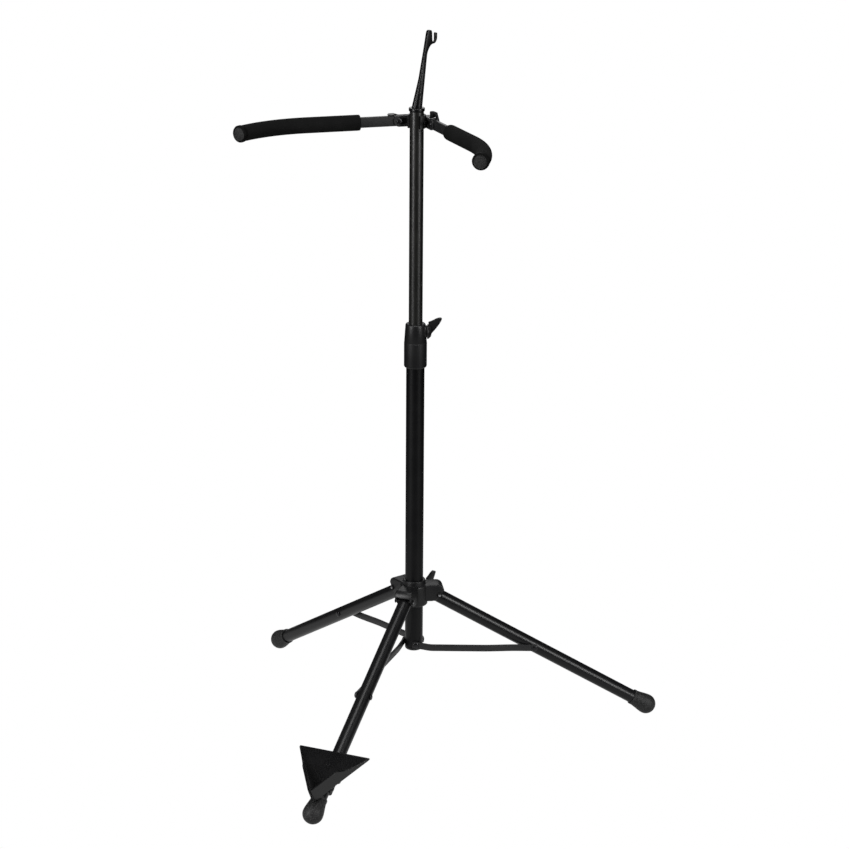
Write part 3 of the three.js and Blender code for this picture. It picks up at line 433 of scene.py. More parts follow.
# %% [markdown]
# ## Moulded plastic
# The hub, the clamp, the knobs and the levers come from moulds with a sparked grain. The hook's mould was
# polished, and the bushes inside are plain nylon. A flat colour with one roughness would look like wax, so
# all three keep their grain, drawn coarser than the real one so that it shows.

# %% Plastics
# The hub, the clamp, the knobs and the levers: soft lights that break up in the grain
moulded = make_finish("grained black plastic", ("#0c0c0d", "#141415"), (0.36, 0.48),
                      grain=0.5, depth=0.02, specular=0.35)
# The bow hook: smoother and deeper black, with clear edge lights
hook_plastic = make_finish("polished black plastic", ("#050506", "#0a0a0b"), (0.26, 0.36),
                           grain=0.6, depth=0.012, specular=0.3)
# The bushes inside the tubes: a smooth, slightly lighter black
nylon = make_finish("smooth black nylon", ("#1c1c1e", "#242426"), (0.42, 0.52), grain=0.8, depth=0.01)

# %% [markdown]
# ## Rubber and foam
# Rubber takes the texture of its mould and then dust, so the tops of its grain are greyer. Foam is cut open
# and shows its pores. Both could be displaced for real, but at this size a bump and lighter specks look the
# same with far fewer faces.

# %% Rubber and foam
# The feet: a coarse moulded texture with dusty tops
foot_rubber = make_finish("textured black rubber", ("#0d0d0d", "#161616"), (0.42, 0.7),
                          grain=1.3, depth=0.3, specular=0.3, speckle="#3c3c3c")
# The faces of the arms' end caps: a finer texture, also dusty
cap_rubber = make_finish("matt black rubber", ("#0d0d0d", "#181818"), (0.45, 0.7),
                         grain=0.9, depth=0.2, specular=0.25, speckle="#383838")
# The rims of the end caps: darker than the faces, with hardly any shine
rim_rubber = make_finish("smooth black rubber", ("#030303", "#060606"), (0.6, 0.75),
                         grain=0.7, depth=0.04, specular=0.08)
# The arms' sleeves: closed-cell foam, which drinks the light and has hardly any shine
foam = make_finish("black foam", ("#090909", "#121212"), (0.85, 1.0),
                   grain=1.1, depth=0.25, specular=0.1, pores=True)

# %% [markdown]
# ## Bare metal
# The thumbscrews' screws and nuts are bright zinc, the rivets and pins are blackened, and the legs' bolts
# are dark with oil. In the middle of their heads, a small patch of bright zinc is a painted highlight.
# Plated steel is a true metal, so its colour lies in its reflection. A metallic black would still glint
# under oil, so oiled steel is a dull dark skin.

# %% Metals
# The thumbscrews' screws and nuts: small bright points. On the middle of the legs' bolts, the same zinc is a
# painted highlight, a bright patch where a glint shows.
zinc_and_glint = make_finish("bright zinc plate and painted glint", ("#9a9a9c", "#b4b4b6"), (0.24, 0.38),
                   grain=0.6, depth=0.01, metallic=1.0)
# The rivets, the pins and the saddle's screws: dark grey, with a clear glint
black_steel = make_finish("blackened steel", ("#2c2c2d", "#39393a"), (0.22, 0.32),
                          grain=0.5, depth=0.01, metallic=0.9)
# The heads of the legs' bolts: dark and dull
oiled_steel = make_finish("oiled steel", ("#060606", "#0c0b0a"), (0.5, 0.65),
                          grain=0.5, depth=0.02, specular=0.15)

# %% [markdown]
# ## From the frame's solids to finer pieces
# Each solid of the frame names a slot, which is the finish that it is made in. Every solid gets its finish
# now, so those that stay match the rest. A finer piece could be given its body and its slot by hand. It
# takes both from the solid that it stands for, and so moves just as that one does.

# %% Slots and stand-ins
SLOTS = {
    "outer_enamel": outer_enamel, "inner_enamel": inner_enamel, "brace_enamel": flat_enamel,
    "tray_enamel": tray_enamel, "black_plastic": moulded, "inner_plastic": nylon,
    "black_rubber": foot_rubber, "black_foam": foam, "zinc_steel": zinc_and_glint, "black_steel": black_steel,
}
node_slots = {entry["node"]: entry["material_slot"] for entry in frame["record"]["subparts"]}
for node_name, node in frame["nodes"].items():
    node.data.materials.clear()
    node.data.materials.append(SLOTS[node_slots[node_name]])


def stand_in(obj, node, place, smooth=35, finish=None, second=None):
    """Settles a finer piece in the place of one solid. Its marked faces take the second finish."""
    settle(obj, node + "_fine", place, smooth)
    obj.data.materials.append(finish or SLOTS[node_slots[node]])
    if second:
        obj.data.materials.append(second)
    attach(obj, frame["nodes"][node]["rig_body"])
    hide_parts(node)
    print(obj.name, len(obj.data.polygons), "faces")
    return obj


def stand_ins(obj, node, places, **options):
    """Stands a piece and its copies in for the solids whose names differ only in their last word."""
    for piece, (name, place) in zip(copies(obj, len(places)), places.items()):
        stand_in(piece, f"{node}_{name}", place, **options)


print("slots", len(SLOTS))

# %% [markdown]
# ## Tubes
# The column is two steel tubes, and each leg is one more. A cylinder under a Solidify modifier would have
# sharp ends. Here the wall is one closed outline that is turned, with eased rims. Short bands of faces lie
# round each hole, so the long faces beside it stay even.

# %% Tubes
# The tubes' radii, and the heights of the column's ends above the floor
OUTER_TUBE = 12.7
OUTER_FOOT = 122.7
OUTER_TOP = 575.6
INNER_TUBE = 9.525
INNER_FOOT = 385.6
INNER_TOP = 897.6
COLUMN_WALL = 1.5
# A leg's ends are measured from its pivot
LEG_TUBE = 9.525
LEG_START = -6
LEG_END = 355.15
LEG_WALL = 1.2
# The middle of a leg's tube lies this far under its pivot
LEG_DROP = 4.5
# The brace's rivet goes through the leg this far from the pivot
LEG_RIVET = 164
RIVET_HOLE = 2.5
BOLT_HOLE = 2.8


def tube(outer, wall, start, end, bands=()):
    """A tube on Z with its edges eased, and extra rings at the bands."""
    ease = 0.4
    inner = outer - wall
    profile = [(inner, start + ease), (inner + ease, start), (outer - ease, start), (outer, start + ease)]
    profile += [(outer, height) for height in bands]
    profile += [(outer, end - ease), (outer - ease, end), (inner + ease, end), (inner, end - ease)]
    profile += [(inner, height) for height in reversed(bands)]
    return turned(profile, closed=True)


stand_in(tube(OUTER_TUBE, COLUMN_WALL, OUTER_FOOT, OUTER_TOP), "outer_tube", column_place())
stand_in(tube(INNER_TUBE, COLUMN_WALL, INNER_FOOT, INNER_TOP), "inner_tube", column_place())
leg = tube(LEG_TUBE, LEG_WALL, LEG_START, LEG_END, (5, LEG_RIVET - 6, LEG_RIVET + 6))
placed(leg, shift(z=-LEG_DROP) @ ALONG_X)
pivot_hole = placed(rod(BOLT_HOLE, -12, 12), ALONG_Y)
rivet_hole = placed(rod(RIVET_HOLE, -12, 12), shift(LEG_RIVET, 0, -LEG_DROP) @ ALONG_Y)
boolean(leg, [pivot_hole, rivet_hole], "DIFFERENCE")
LEG_PLACES = {name: leg_place(name) for name in AZIMUTHS}
# The legs take the outer tube's coat with its base colour painted lighter: painted light
stand_ins(leg, "leg_tube", LEG_PLACES, finish=lit_leg_enamel)

# %% [markdown]
# ## Hub
# The hub slides on the column: a round drum with a neck on top, three hollow lugs for the legs and a boss
# for the screw. It could be extruded from one cylinder, but the lugs' rounded edges would run into the
# drum. So each lug gets its edges before it is joined. The bores and slots come last.

# %% Hub
COLUMN_BORE = 12.95
LUG_WIDTH = 24.6
SLOT_WIDTH = 20.25
SCREW_HOLE = 3.3
NUT_POCKET = 6.1
HUB_SCREW_HEIGHT = 201.2
HUB_SCREW_AZIMUTH = radians(78)

drum_profile = arc(3, (16.5, 190), -90, 0) + arc(2.6, (16.9, 215.4), 0, 90)
drum_profile += [(16.1, 218.4)] + arc(1.2, (14.6, 223.3), 0, 90)
hub = turned(drum_profile)
lug_outline = rounded([(8, 193.6, 0), (31.5, 193.6, 7), (41.8, 208.6, 0)])
lug_outline += arc(9.4, (32.4, 208.6), 0, 90, 8)[1:] + [(8, 218)]
slot_outline = [(18.4, 185), (44, 185), (44, 209.4), (39.6, 209.4), (39.6, 210.2), (34.6, 214.8),
                (18.4, 214.8)]
lug = bevel(cut_out(lug_outline, LUG_WIDTH, -LUG_WIDTH / 2), 1.4, 3)
slot = cut_out(slot_outline, SLOT_WIDTH, -SLOT_WIDTH / 2)
hub_screw_line = turn(HUB_SCREW_AZIMUTH) @ shift(z=HUB_SCREW_HEIGHT) @ ALONG_X
boss = placed(turned([(9.7, 14.5), (9.7, 29.7), (9.4, 30.3), (8.9, 30.5)], 64), hub_screw_line)
boolean(hub, at_each(lug, to_each_leg(UPRIGHT)) + [boss], "UNION")
pivot = shift(LEG_PIVOT_REACH, 0, LEG_PIVOT_HEIGHT) @ ALONG_Y
hub_cuts = [rod(COLUMN_BORE, 180, 230, 96)] + at_each(slot, to_each_leg(UPRIGHT))
hub_cuts += at_each(rod(BOLT_HOLE, -14, 14), to_each_leg(pivot))
hub_cuts.append(placed(rod(SCREW_HOLE, 12, 33), hub_screw_line))
hub_cuts.append(placed(rod(NUT_POCKET, 13.9, 17.9, 6), hub_screw_line))
boolean(hub, hub_cuts, "DIFFERENCE")
stand_in(hub, "leg_hub", column_place(), smooth=32)

# %% [markdown]
# ## Clamp collar
# The collar sits on the outer tube and grips the inner one. It narrows above a fine groove. A stack of
# cylinders would leave seams at each step, so one closed outline is turned, and only the boss is joined.

# %% Clamp collar
# A bore that lets the inner tube or a leg pass
TUBE_BORE = 9.825
CLAMP_SCREW_HEIGHT = 590.5
CLAMP_SCREW_AZIMUTH = radians(20)

collar_profile = [(13.0, 539.6)] + arc(2.5, (13.3, 542.1), -90, 0)
collar_profile += [(15.8, 574.9), (15.3, 575.6), (15.55, 576.2)] + arc(2.5, (11.5, 599.5), 0, 90)
collar_profile += [(TUBE_BORE, 602), (TUBE_BORE, 578.8), (13.0, 578.8)]
collar = turned(collar_profile, closed=True)
clamp_screw_line = turn(CLAMP_SCREW_AZIMUTH) @ shift(z=CLAMP_SCREW_HEIGHT) @ ALONG_X
clamp_boss = turned([(8.5, 11.6), (8.5, 15.1), (8.2, 15.6), (7.8, 15.8)], 64)
boolean(collar, [placed(clamp_boss, clamp_screw_line)], "UNION")
clamp_hole = placed(rod(SCREW_HOLE, 8, 18), clamp_screw_line)
clamp_pocket = placed(rod(NUT_POCKET, 10.4, 14.4, 6), clamp_screw_line)
boolean(collar, [clamp_hole, clamp_pocket], "DIFFERENCE")
stand_in(collar, "clamp_collar", column_place(), smooth=32)

# %% [markdown]
# ## Thumbscrew knobs
# Both thumbscrews have the same knob: a low, crowned cap with one curved wing for the thumb. The wing could
# be sculpted, but would stray from the solid's. So its side view is cut out, gets well rounded edges and is
# joined to the turned cap.

# %% Thumbscrew knobs
# The knobs begin this far from the column's axis
CLAMP_KNOB_REACH = 16.1
HUB_KNOB_REACH = 30.8
WING_THICKNESS = 4.6

knob_profile = [(3.3, 3.8), (3.3, 0), (9.9, 0), (10.3, 0.4), (10.3, 1.1)] + arc(1.6, (8.6, 1.3), 15, 60, 4)
knob_profile += arc(1.2, (6.2, 4.1), 50, 90, 4) + [(4.6, 5.6), (3.3, 6.0)]
wing_outline = rounded([
    (13.2, 1.4, 0), (15.6, 7.2, 2), (18.6, 12.4, 2), (20, 17.2, 1.5), (19.6, 19.2, 0.8), (18.4, 20, 0.8),
    (16.8, 19.6, 1.2), (11, 16.4, 3), (4.4, 11.6, 3), (-3.3, 5.1, 0), (-3.3, 4.1, 0), (3.6, 4.1, 0)])
knob = turned(knob_profile, 64)
wing = bevel(cut_out(wing_outline, WING_THICKNESS, -WING_THICKNESS / 2), 1.3, 4)
boolean(knob, [placed(wing, UPRIGHT)], "UNION")
(clamp_knob, hub_knob) = copies(knob, 2)
clamp_knob_place = column_place(CLAMP_SCREW_HEIGHT, CLAMP_SCREW_AZIMUTH) @ FACING_OUT
hub_knob_place = column_place(HUB_SCREW_HEIGHT, HUB_SCREW_AZIMUTH) @ FACING_OUT
stand_in(clamp_knob, "clamp_knob", clamp_knob_place @ shift(z=CLAMP_KNOB_REACH), smooth=30)
stand_in(hub_knob, "hub_knob", hub_knob_place @ shift(z=HUB_KNOB_REACH), smooth=30)

# %% [markdown]
# ## Column plug
# The plug closes the foot of the outer tube. A bevelled disc would look the same from outside, but the
# braces' rivets end in the plug, so its neck is turned too and has their blind holes.

# %% Column plug
BRACE_RIVET_HEIGHT = 128.4
# The braces' rivets pass beside the column's axis by this much
BRACE_RIVET_REACH = 1

plug = turned(arc(3, (9.7, 121.2), -90, 0) + [(12.7, 122.4), (10.9, 122.4), (10.9, 140.2)])
rivet_line = shift(BRACE_RIVET_REACH, 0, BRACE_RIVET_HEIGHT) @ ALONG_Y
boolean(plug, at_each(rod(RIVET_HOLE, -14, -8.6), to_each_leg(rivet_line)), "DIFFERENCE")
stand_in(plug, "column_plug", column_place())

# %% [markdown]
# ## Feet
# Each foot is a rubber ball with a sleeve. A stretched sphere would lack the sleeve's bead and the slim
# waist, so the foot is turned. Its underside is then cut flat by the floor, because the stand rests on it.

# %% Feet
foot_profile = [(9.8, 355.45), (9.8, 335.9), (10.2, 335.45)] + arc(0.7, (10.5, 336.15), -60, 0, 3)
foot_profile += arc(0.7, (10.5, 338.8), 0, 60, 3)
foot_profile += [(11.1, 340.2), (11.5, 343), (12.3, 347.5), (13.2, 352), (13.9, 356.2)]
foot_profile += arc(14.2, (0, 360.25), 0, 88, 12)
foot = placed(turned(foot_profile, 72), shift(z=-LEG_DROP) @ ALONG_X)
from_leg_to_floor = leg_place("front").inverted() @ column_place(0, AZIMUTHS["front"])
ground = placed(block((0, -30, -40), (500, 30, 0)), from_leg_to_floor)
boolean(foot, [ground], "DIFFERENCE")
stand_ins(foot, "foot", LEG_PLACES, smooth=40)

# %% [markdown]
# ## Braces
# A brace is a flat steel strip. Seen from the side it dips near the column, and seen from above it steps
# inwards near the leg. A straight strip could be bent by a lattice. What its side view and its top view
# share has both bends at once, in exact places.

# %% Braces
BRACE_TILT = radians(4.62)
BRACE_LENGTH = 172.82
BRACE_HALF = 4.9
BRACE_SHEET = 2.5
DIP_PLACE = 21
DIP = 3.4
STEP_START = BRACE_LENGTH * 0.6
STEP_END = BRACE_LENGTH * 0.82
# The strip's inner face lies this far beside the brace's line, near the column and near the leg
NEAR_COLUMN = -13
NEAR_LEG = -9.825


def brace_place(name):
    """The frame of a brace: X runs from its inner pivot to its outer one."""
    at_column = column_place(BRACE_RIVET_HEIGHT, AZIMUTHS[name])
    return at_column @ shift(BRACE_RIVET_REACH) @ turn(BRACE_TILT, "Y")


width = 2 * BRACE_HALF
under_edge = [(-BRACE_HALF, -BRACE_HALF, BRACE_HALF / 2), (0, -BRACE_HALF, 0),
              (DIP_PLACE, -BRACE_HALF - DIP, BRACE_HALF), (BRACE_LENGTH, -BRACE_HALF, 0),
              (BRACE_LENGTH + BRACE_HALF, -BRACE_HALF, BRACE_HALF)]
upper_edge = [(x, y + width, bend) for x, y, bend in reversed(under_edge)]
inner_face = [(-width, NEAR_COLUMN, 0), (STEP_START, NEAR_COLUMN, width), (STEP_END, NEAR_LEG, width),
              (BRACE_LENGTH + width, NEAR_LEG, 0)]
outer_face = [(x, y - BRACE_SHEET, bend) for x, y, bend in reversed(inner_face)]
# Each view is cut out thick enough to reach past the strip in the other
brace = placed(cut_out(rounded(under_edge + upper_edge), 16.75), UPRIGHT)
boolean(brace, [cut_out(rounded(inner_face + outer_face), 23, -13.2)], "INTERSECT")
bevel(brace, 0.5, 2, 50)
brace_ends = [shift(x) @ ALONG_Y for x in (0, BRACE_LENGTH)]
boolean(brace, at_each(rod(RIVET_HOLE, -18, 0), brace_ends), "DIFFERENCE")
BRACE_PLACES = {name: brace_place(name) for name in AZIMUTHS}
stand_ins(brace, "brace", BRACE_PLACES)

# %% [markdown]
# ## Rivets and bolts
# Every rivet, bolt and pin is a shank with one or two domed heads. Half a sphere would do for a head. Here
# its arc is part of the turned outline, above a small shoulder that catches a thin line of light. The bolts'
# heads are marked in the middle for a small patch of bright zinc, a painted highlight.

# %% Rivets and bolts
RIVET_SHANK = 2.2
RIVET_HEAD = 4.2
BOLT_SHANK = 2.5
BOLT_HEAD = 3.8
BOLT_SEAT = 12.6
# The radius of the bright zinc patch in the middle of the legs' bolt heads: a painted highlight
PAINTED_GLINT_RADIUS = 1.7
HEAD_HEIGHT = 1.6


def mark(obj, inner, outer):
    """Marks the faces of a piece on Z between two radii for its second finish."""
    for polygon in obj.data.polygons:
        polygon.material_index = int(inner * MM <= hypot(*polygon.center.xy) < outer * MM)
    return obj


def head(radius, height, seat, sign=1):
    """The outline of a domed head that stands on its seat, without the shank."""
    shoulder = 0.3
    points = [(radius - 0.2, seat), (radius, seat + sign * shoulder)]
    for i in range(1, 7):
        angle = pi / 2 * i / 6
        rise = shoulder + (height - shoulder) * sin(angle)
        points.append((max(radius * cos(angle), 0.25), seat + sign * rise))
    return points


def rivet(shank, start, head_radius, height, seat):
    """A headed rivet on Z with a plain far end."""
    return turned([(shank, start), (shank, seat)] + head(head_radius, height, seat), 48)


def double_headed(shank, head_radius, low_seat, high_seat):
    """A rivet on Z with a head at both ends."""
    low_head = list(reversed(head(head_radius, HEAD_HEIGHT, low_seat, -1)))
    high_head = head(head_radius, HEAD_HEIGHT, high_seat)
    return turned(low_head + [(shank, low_seat), (shank, high_seat)] + high_head, 48)


def round_column(reach, height):
    """The three upright places round the column at one reach and height."""
    here = shift(reach, 0, height) @ UPRIGHT
    return {name: column_place(0, azimuth) @ here for name, azimuth in AZIMUTHS.items()}


# The bare numbers are where each shank starts and where its head sits, along its own line
column_rivet = rivet(RIVET_SHANK, 8.9, RIVET_HEAD, HEAD_HEIGHT, 15.8)
stand_ins(column_rivet, "brace_inner_rivet", round_column(BRACE_RIVET_REACH, BRACE_RIVET_HEIGHT))
# The middle of each leg bolt's head takes bright zinc: a painted highlight
leg_bolt = mark(double_headed(BOLT_SHANK, BOLT_HEAD, -BOLT_SEAT, BOLT_SEAT), 0, PAINTED_GLINT_RADIUS)
bolt_places = round_column(LEG_PIVOT_REACH, LEG_PIVOT_HEIGHT)
stand_ins(leg_bolt, "leg_pivot_bolt", bolt_places, finish=oiled_steel, second=zinc_and_glint)
leg_rivet = rivet(RIVET_SHANK, -9.2, RIVET_HEAD, HEAD_HEIGHT, 9.825)
on_leg = shift(LEG_RIVET, 0, -LEG_DROP) @ ALONG_Y
stand_ins(leg_rivet, "leg_rivet", {name: place @ on_leg for name, place in LEG_PLACES.items()})
brace_rivet = rivet(RIVET_SHANK, 9.825, RIVET_HEAD, HEAD_HEIGHT, 12.625)
on_brace = shift(BRACE_LENGTH) @ UPRIGHT
stand_ins(brace_rivet, "brace_outer_rivet", {name: place @ on_brace for name, place in BRACE_PLACES.items()})

# %% [markdown]
# ## Yoke
# The yoke is a steel bracket round the top of the inner tube, and its two forked ears hold the arms.
# Folding it from a sheet would need every bend worked out. So a short tube is opened by a wedge in front,
# and each ear is cut out, eased, slotted and joined.

# %% Yoke
YOKE_TURN = radians(-3)
YOKE_RADIUS = 12.4
ARM_HEIGHT = 882.3
ARM_ANGLE = radians(41)
# An arm's line passes beside the column's axis by this much
ARM_OFFSET = 15.9
# The arm's pivot lies this far out along its line
ARM_PIVOT = 21
PIN_CLEARANCE = 4.5
SIDES = {"right": 1, "left": -1}


def arm_turned(side):
    """The arm's frame in the yoke's: X runs along the arm."""
    heading = -ARM_ANGLE if side > 0 else ARM_ANGLE - pi
    return shift(side * ARM_OFFSET * sin(ARM_ANGLE), ARM_OFFSET * cos(ARM_ANGLE)) @ turn(heading)


yoke = tube(YOKE_RADIUS, YOKE_RADIUS - TUBE_BORE, -7.4, 10.6)
wedge = [(0, 0), (-24.8, -20.81), (-24.8, -49.6), (24.8, -49.6), (24.8, -20.81)]
boolean(yoke, [cut_out(wedge, 50, -25)], "DIFFERENCE")
ear_outline = [(-7, -7.5)] + arc(7.5, (ARM_PIVOT, 0), -90, 90, 18) + [(-7, 7.5)]
ear = bevel(placed(cut_out(ear_outline, 10, -5), UPRIGHT), 0.5, 2)
ear_slot = block((9.5, -2.8, -15), (36, 2.8, 15))
ear_hole = placed(rod(RIVET_HOLE, -10, 10), shift(ARM_PIVOT) @ ALONG_Y)
boolean(ear, [ear_slot, ear_hole], "DIFFERENCE")
boolean(yoke, at_each(ear, [arm_turned(side) for side in SIDES.values()]), "UNION")
pin_hole = placed(rod(RIVET_HOLE, -25, 25), ALONG_X)
head_room = at_each(rod(PIN_CLEARANCE, YOKE_RADIUS, 25), [ALONG_X, turn(pi) @ ALONG_X])
boolean(yoke, [rod(TUBE_BORE, -20, 20, 96)] + head_room + [pin_hole], "DIFFERENCE")
yoke_place = column_place(ARM_HEIGHT, YOKE_TURN)
stand_in(yoke, "yoke_bracket", yoke_place, smooth=32)
stand_in(double_headed(RIVET_SHANK, RIVET_HEAD, -12.7, 12.7), "yoke_pin", yoke_place @ ALONG_X)

# %% [markdown]
# ## Arms
# Each arm is a flat steel bar in a foam sleeve that runs straight and then bends forwards. A curve could
# sweep one section along that line, but bar and foam have different sections and lengths. So each is made
# straight along X and its points are moved onto the line. The two copies bend to opposite sides.

# %% The line of an arm
ARM_STRAIGHT = 148
ARM_RADIUS = 160
ARM_BEND = radians(36)
ARM_LENGTH = ARM_STRAIGHT + ARM_RADIUS * ARM_BEND
ARM_PLACES = {name: yoke_place @ arm_turned(side) for name, side in SIDES.items()}


def follow_arm(obj, side):
    """Moves the points of a piece made along X onto the arm's middle line."""
    for vertex in obj.data.vertices:
        (x, y, z) = vertex.co / MM
        angle = (x - ARM_STRAIGHT) / ARM_RADIUS
        if angle > 0:
            reach = ARM_RADIUS + side * y
            along = ARM_STRAIGHT + reach * sin(angle)
            across = side * (reach * cos(angle) - ARM_RADIUS)
            vertex.co = Vector((along, across, z)) * MM
    return obj


print("arm length", round(ARM_LENGTH, 1), "mm")

# %% [markdown]
# ## Arm bars
# The bar's section is drawn out along Z from one station to the next. Loop cuts could add the steps
# afterwards, but they need a window. The stations lie close together only where the bar bends.

# %% Arm bars


def drawn(outline, stations):
    """An outline drawn out along Z in steps, so that it can follow a curve."""
    obj = cut_out(outline, stations[1] - stations[0], stations[0])
    bpy.ops.object.mode_set(mode="EDIT")
    bpy.ops.mesh.select_mode(type="FACE")
    bpy.ops.mesh.select_all(action="DESELECT")
    bpy.ops.object.mode_set(mode="OBJECT")
    for polygon in obj.data.polygons:
        polygon.select = polygon.normal.z > 0.9
    bpy.ops.object.mode_set(mode="EDIT")
    for low_station, high_station in zip(stations[1:], stations[2:]):
        step = (0, 0, (high_station - low_station) * MM)
        bpy.ops.mesh.extrude_region_move(TRANSFORM_OT_translate={"value": step})
    bpy.ops.mesh.select_mode(type="VERT")
    bpy.ops.object.mode_set(mode="OBJECT")
    return obj


bar_section = rounded([(-7, -2.5, 0.9), (7, -2.5, 0.9), (7, 2.5, 0.9), (-7, 2.5, 0.9)], 3)
bent_length = ARM_LENGTH - 0.3 - ARM_STRAIGHT
stations = [14.6, 27, 74, ARM_STRAIGHT] + [ARM_STRAIGHT + bent_length * i / 14 for i in range(1, 15)]
bar = placed(drawn(bar_section, stations), ALONG_X)
bar_hole = placed(rod(RIVET_HOLE, -8, 8), shift(ARM_PIVOT) @ ALONG_Y)
boolean(bar, [bar_hole], "DIFFERENCE")
for (name, side), piece in zip(SIDES.items(), copies(bar, 2)):
    stand_in(follow_arm(piece, side), f"arm_bar_{name}", ARM_PLACES[name])

# %% [markdown]
# ## Foam sleeves
# A sleeve is a thick tube of foam. A bevelled curve would have hard flat ends. A turned ring can be a little
# round at its ends, and enough rings let it bend.

# %% Foam sleeves
SLEEVE_RADIUS = 10.7
SLEEVE_BORE = 7.7
SLEEVE_START = 75
SLEEVE_END = ARM_LENGTH - 0.9

ring_room = SLEEVE_END - SLEEVE_START - 6
rings = [SLEEVE_START + 3 + ring_room * i / 34 for i in range(35)]
sleeve_profile = [(SLEEVE_BORE, SLEEVE_START + 0.8), (8.4, SLEEVE_START), (9.9, SLEEVE_START)]
sleeve_profile += [(10.5, SLEEVE_START + 0.4)] + [(SLEEVE_RADIUS, ring) for ring in rings]
sleeve_profile += [(10.5, SLEEVE_END - 0.4), (9.9, SLEEVE_END), (8.4, SLEEVE_END)]
sleeve_profile += [(SLEEVE_BORE, SLEEVE_END - 0.8)] + [(SLEEVE_BORE, ring) for ring in reversed(rings)]
sleeve = placed(turned(sleeve_profile, 72, closed=True), ALONG_X)
for (name, side), piece in zip(SIDES.items(), copies(sleeve, 2)):
    stand_in(follow_arm(piece, side), f"foam_sleeve_{name}", ARM_PLACES[name])

# %% [markdown]
# ## End caps
# A rubber cap closes each arm: a low disc with a raised round rim. An inset on a cylinder's end would give
# the step but not the round rim, so the cap is turned. The rim's faces are marked for a darker finish with
# hardly any shine.

# %% End caps
CAP_FACE = 9.1
CAP_OUTSIDE = 12

cap_profile = [(11.0, 0), (11.4, 0.5), (11.4, 3.1)] + arc(2.0, (9.4, 3.3), 10, 90, 5)
cap_profile += [(8.9, 5.3), (8.4, 4.7), (5.5, 4.9), (2.5, 5.1), (0.6, 5.15)]
cap = mark(turned(cap_profile, 72), CAP_FACE, CAP_OUTSIDE)
for (name, side), piece in zip(SIDES.items(), copies(cap, 2)):
    arm_end = shift(ARM_STRAIGHT + ARM_RADIUS * sin(ARM_BEND), -side * ARM_RADIUS * (1 - cos(ARM_BEND)))
    cap_place = ARM_PLACES[name] @ arm_end @ turn(-side * ARM_BEND) @ ALONG_X
    stand_in(piece, f"arm_end_cap_{name}", cap_place, finish=cap_rubber, second=rim_rubber)

# %% [markdown]
# ## Lock levers and arm pins
# A lever on each ear locks the arm: a cheek round the pin, a thumb tab over the bar and a gusset between
# them. It could be carved from one block, but three thin shapes each keep their own rounded edges.

# %% Lock levers and arm pins
LEVER_RAISED = {"right": radians(72), "left": 0}
CHEEK_MIDDLE = 6.3
CHEEK_THICKNESS = 2


def lock_lever(side):
    """A cheek on the outer ear, a thumb tab over the bar and a gusset between them."""
    cheek_outline = rounded([(-6.4, 0, 3.2), (0, -6.4, 3.2), (6.4, 0, 3.2), (12.4, 9.3, 1.5), (6, 9.3, 0),
                             (-3.2, 6.4, 3.2)])
    cheek_place = shift(y=side * CHEEK_MIDDLE + CHEEK_THICKNESS / 2) @ UPRIGHT
    lever = bevel(placed(cut_out(cheek_outline, CHEEK_THICKNESS), cheek_place), 0.4, 2)
    tab_outline = rounded([(6, -3, 0), (15.5, -4.5, 1.5), (15.5, 1, 1.5), (12.4, 7.3, 0), (6, 7.3, 0)])
    tab = bevel(cut_out([(x, side * y) for x, y in tab_outline], 1.5, 7.8), 0.4, 2)
    (near, far) = sorted((side * 2.8, side * 5.5))
    gusset = block((8, near, 3.4), (11.6, far, 8))
    boolean(lever, [tab, gusset], "UNION")
    return boolean(lever, [placed(rod(RIVET_HOLE, -12, 12), ALONG_Y)], "DIFFERENCE")


arm_pins = copies(double_headed(RIVET_SHANK, RIVET_HEAD, -5.3, 7.6), 2)
for (name, side), arm_pin in zip(SIDES.items(), arm_pins):
    pivot_place = ARM_PLACES[name] @ shift(ARM_PIVOT)
    lever_place = pivot_place @ turn(-LEVER_RAISED[name], "Y")
    stand_in(lock_lever(side), f"arm_lock_lever_{name}", lever_place, smooth=30)
    stand_in(arm_pin, f"arm_pivot_pin_{name}", pivot_place @ (ALONG_Y if side > 0 else UPRIGHT))

# %% [markdown]
# ## Bow hook
# The bow hangs from a flat plastic fork on a slim stem, with a rib that narrows upwards and a round flange.
# The fork could be a bevelled curve, but its width changes all along. One outline gives every width, and
# the rib is a second flat piece whose upper points are drawn together.

# %% Bow hook
HOOK_TURN = radians(60)
HOOK_SHEET = 4
STEM_START = 4.5
RIB_HALF_FOOT = 7.2
RIB_HALF_TIP = 1

flange_profile = [(7.425, -10.5), (7.725, -10.2), (7.725, 0.3), (10.4, 0.3)]
flange_profile += arc(0.6, (10.2, 0.9), -80, 0, 4) + arc(1.0, (9.8, 3.8), 0, 90, 5) + [(8, 4.8)]
hook = turned(flange_profile)
fork_outline = rounded([
    (-7.6, 0, 0), (7.6, 0, 0), (15.84, 74.2, 6), (21.84, 83.2, 3), (29, 84.4, 2), (32, 89.4, 3),
    (32, 98.2, 1.5), (29, 98.2, 1.5), (29, 86.4, 2.4), (24.2, 86.4, 2.4), (23.3, 102.6, 3.4),
    (16.5, 102.6, 3.4), (11.64, 77.2, 0), (3.68, 38.6, 0)], 6)
fork = bevel(cut_out(fork_outline, HOOK_SHEET), 0.8, 3)
rib = cut_out([(-1.7, 0), (1.7, 0), (15.44, 77.2), (12.04, 77.2)], 2 * RIB_HALF_FOOT, -RIB_HALF_FOOT)
for vertex in rib.data.vertices:
    if vertex.co.y > 0.01:
        vertex.co.z *= RIB_HALF_TIP / RIB_HALF_FOOT
bevel(rib, 0.7, 3)
placed(fork, shift(0, HOOK_SHEET / 2, STEM_START) @ UPRIGHT)
placed(rib, shift(z=STEM_START) @ UPRIGHT)
boolean(hook, [fork, rib], "UNION")
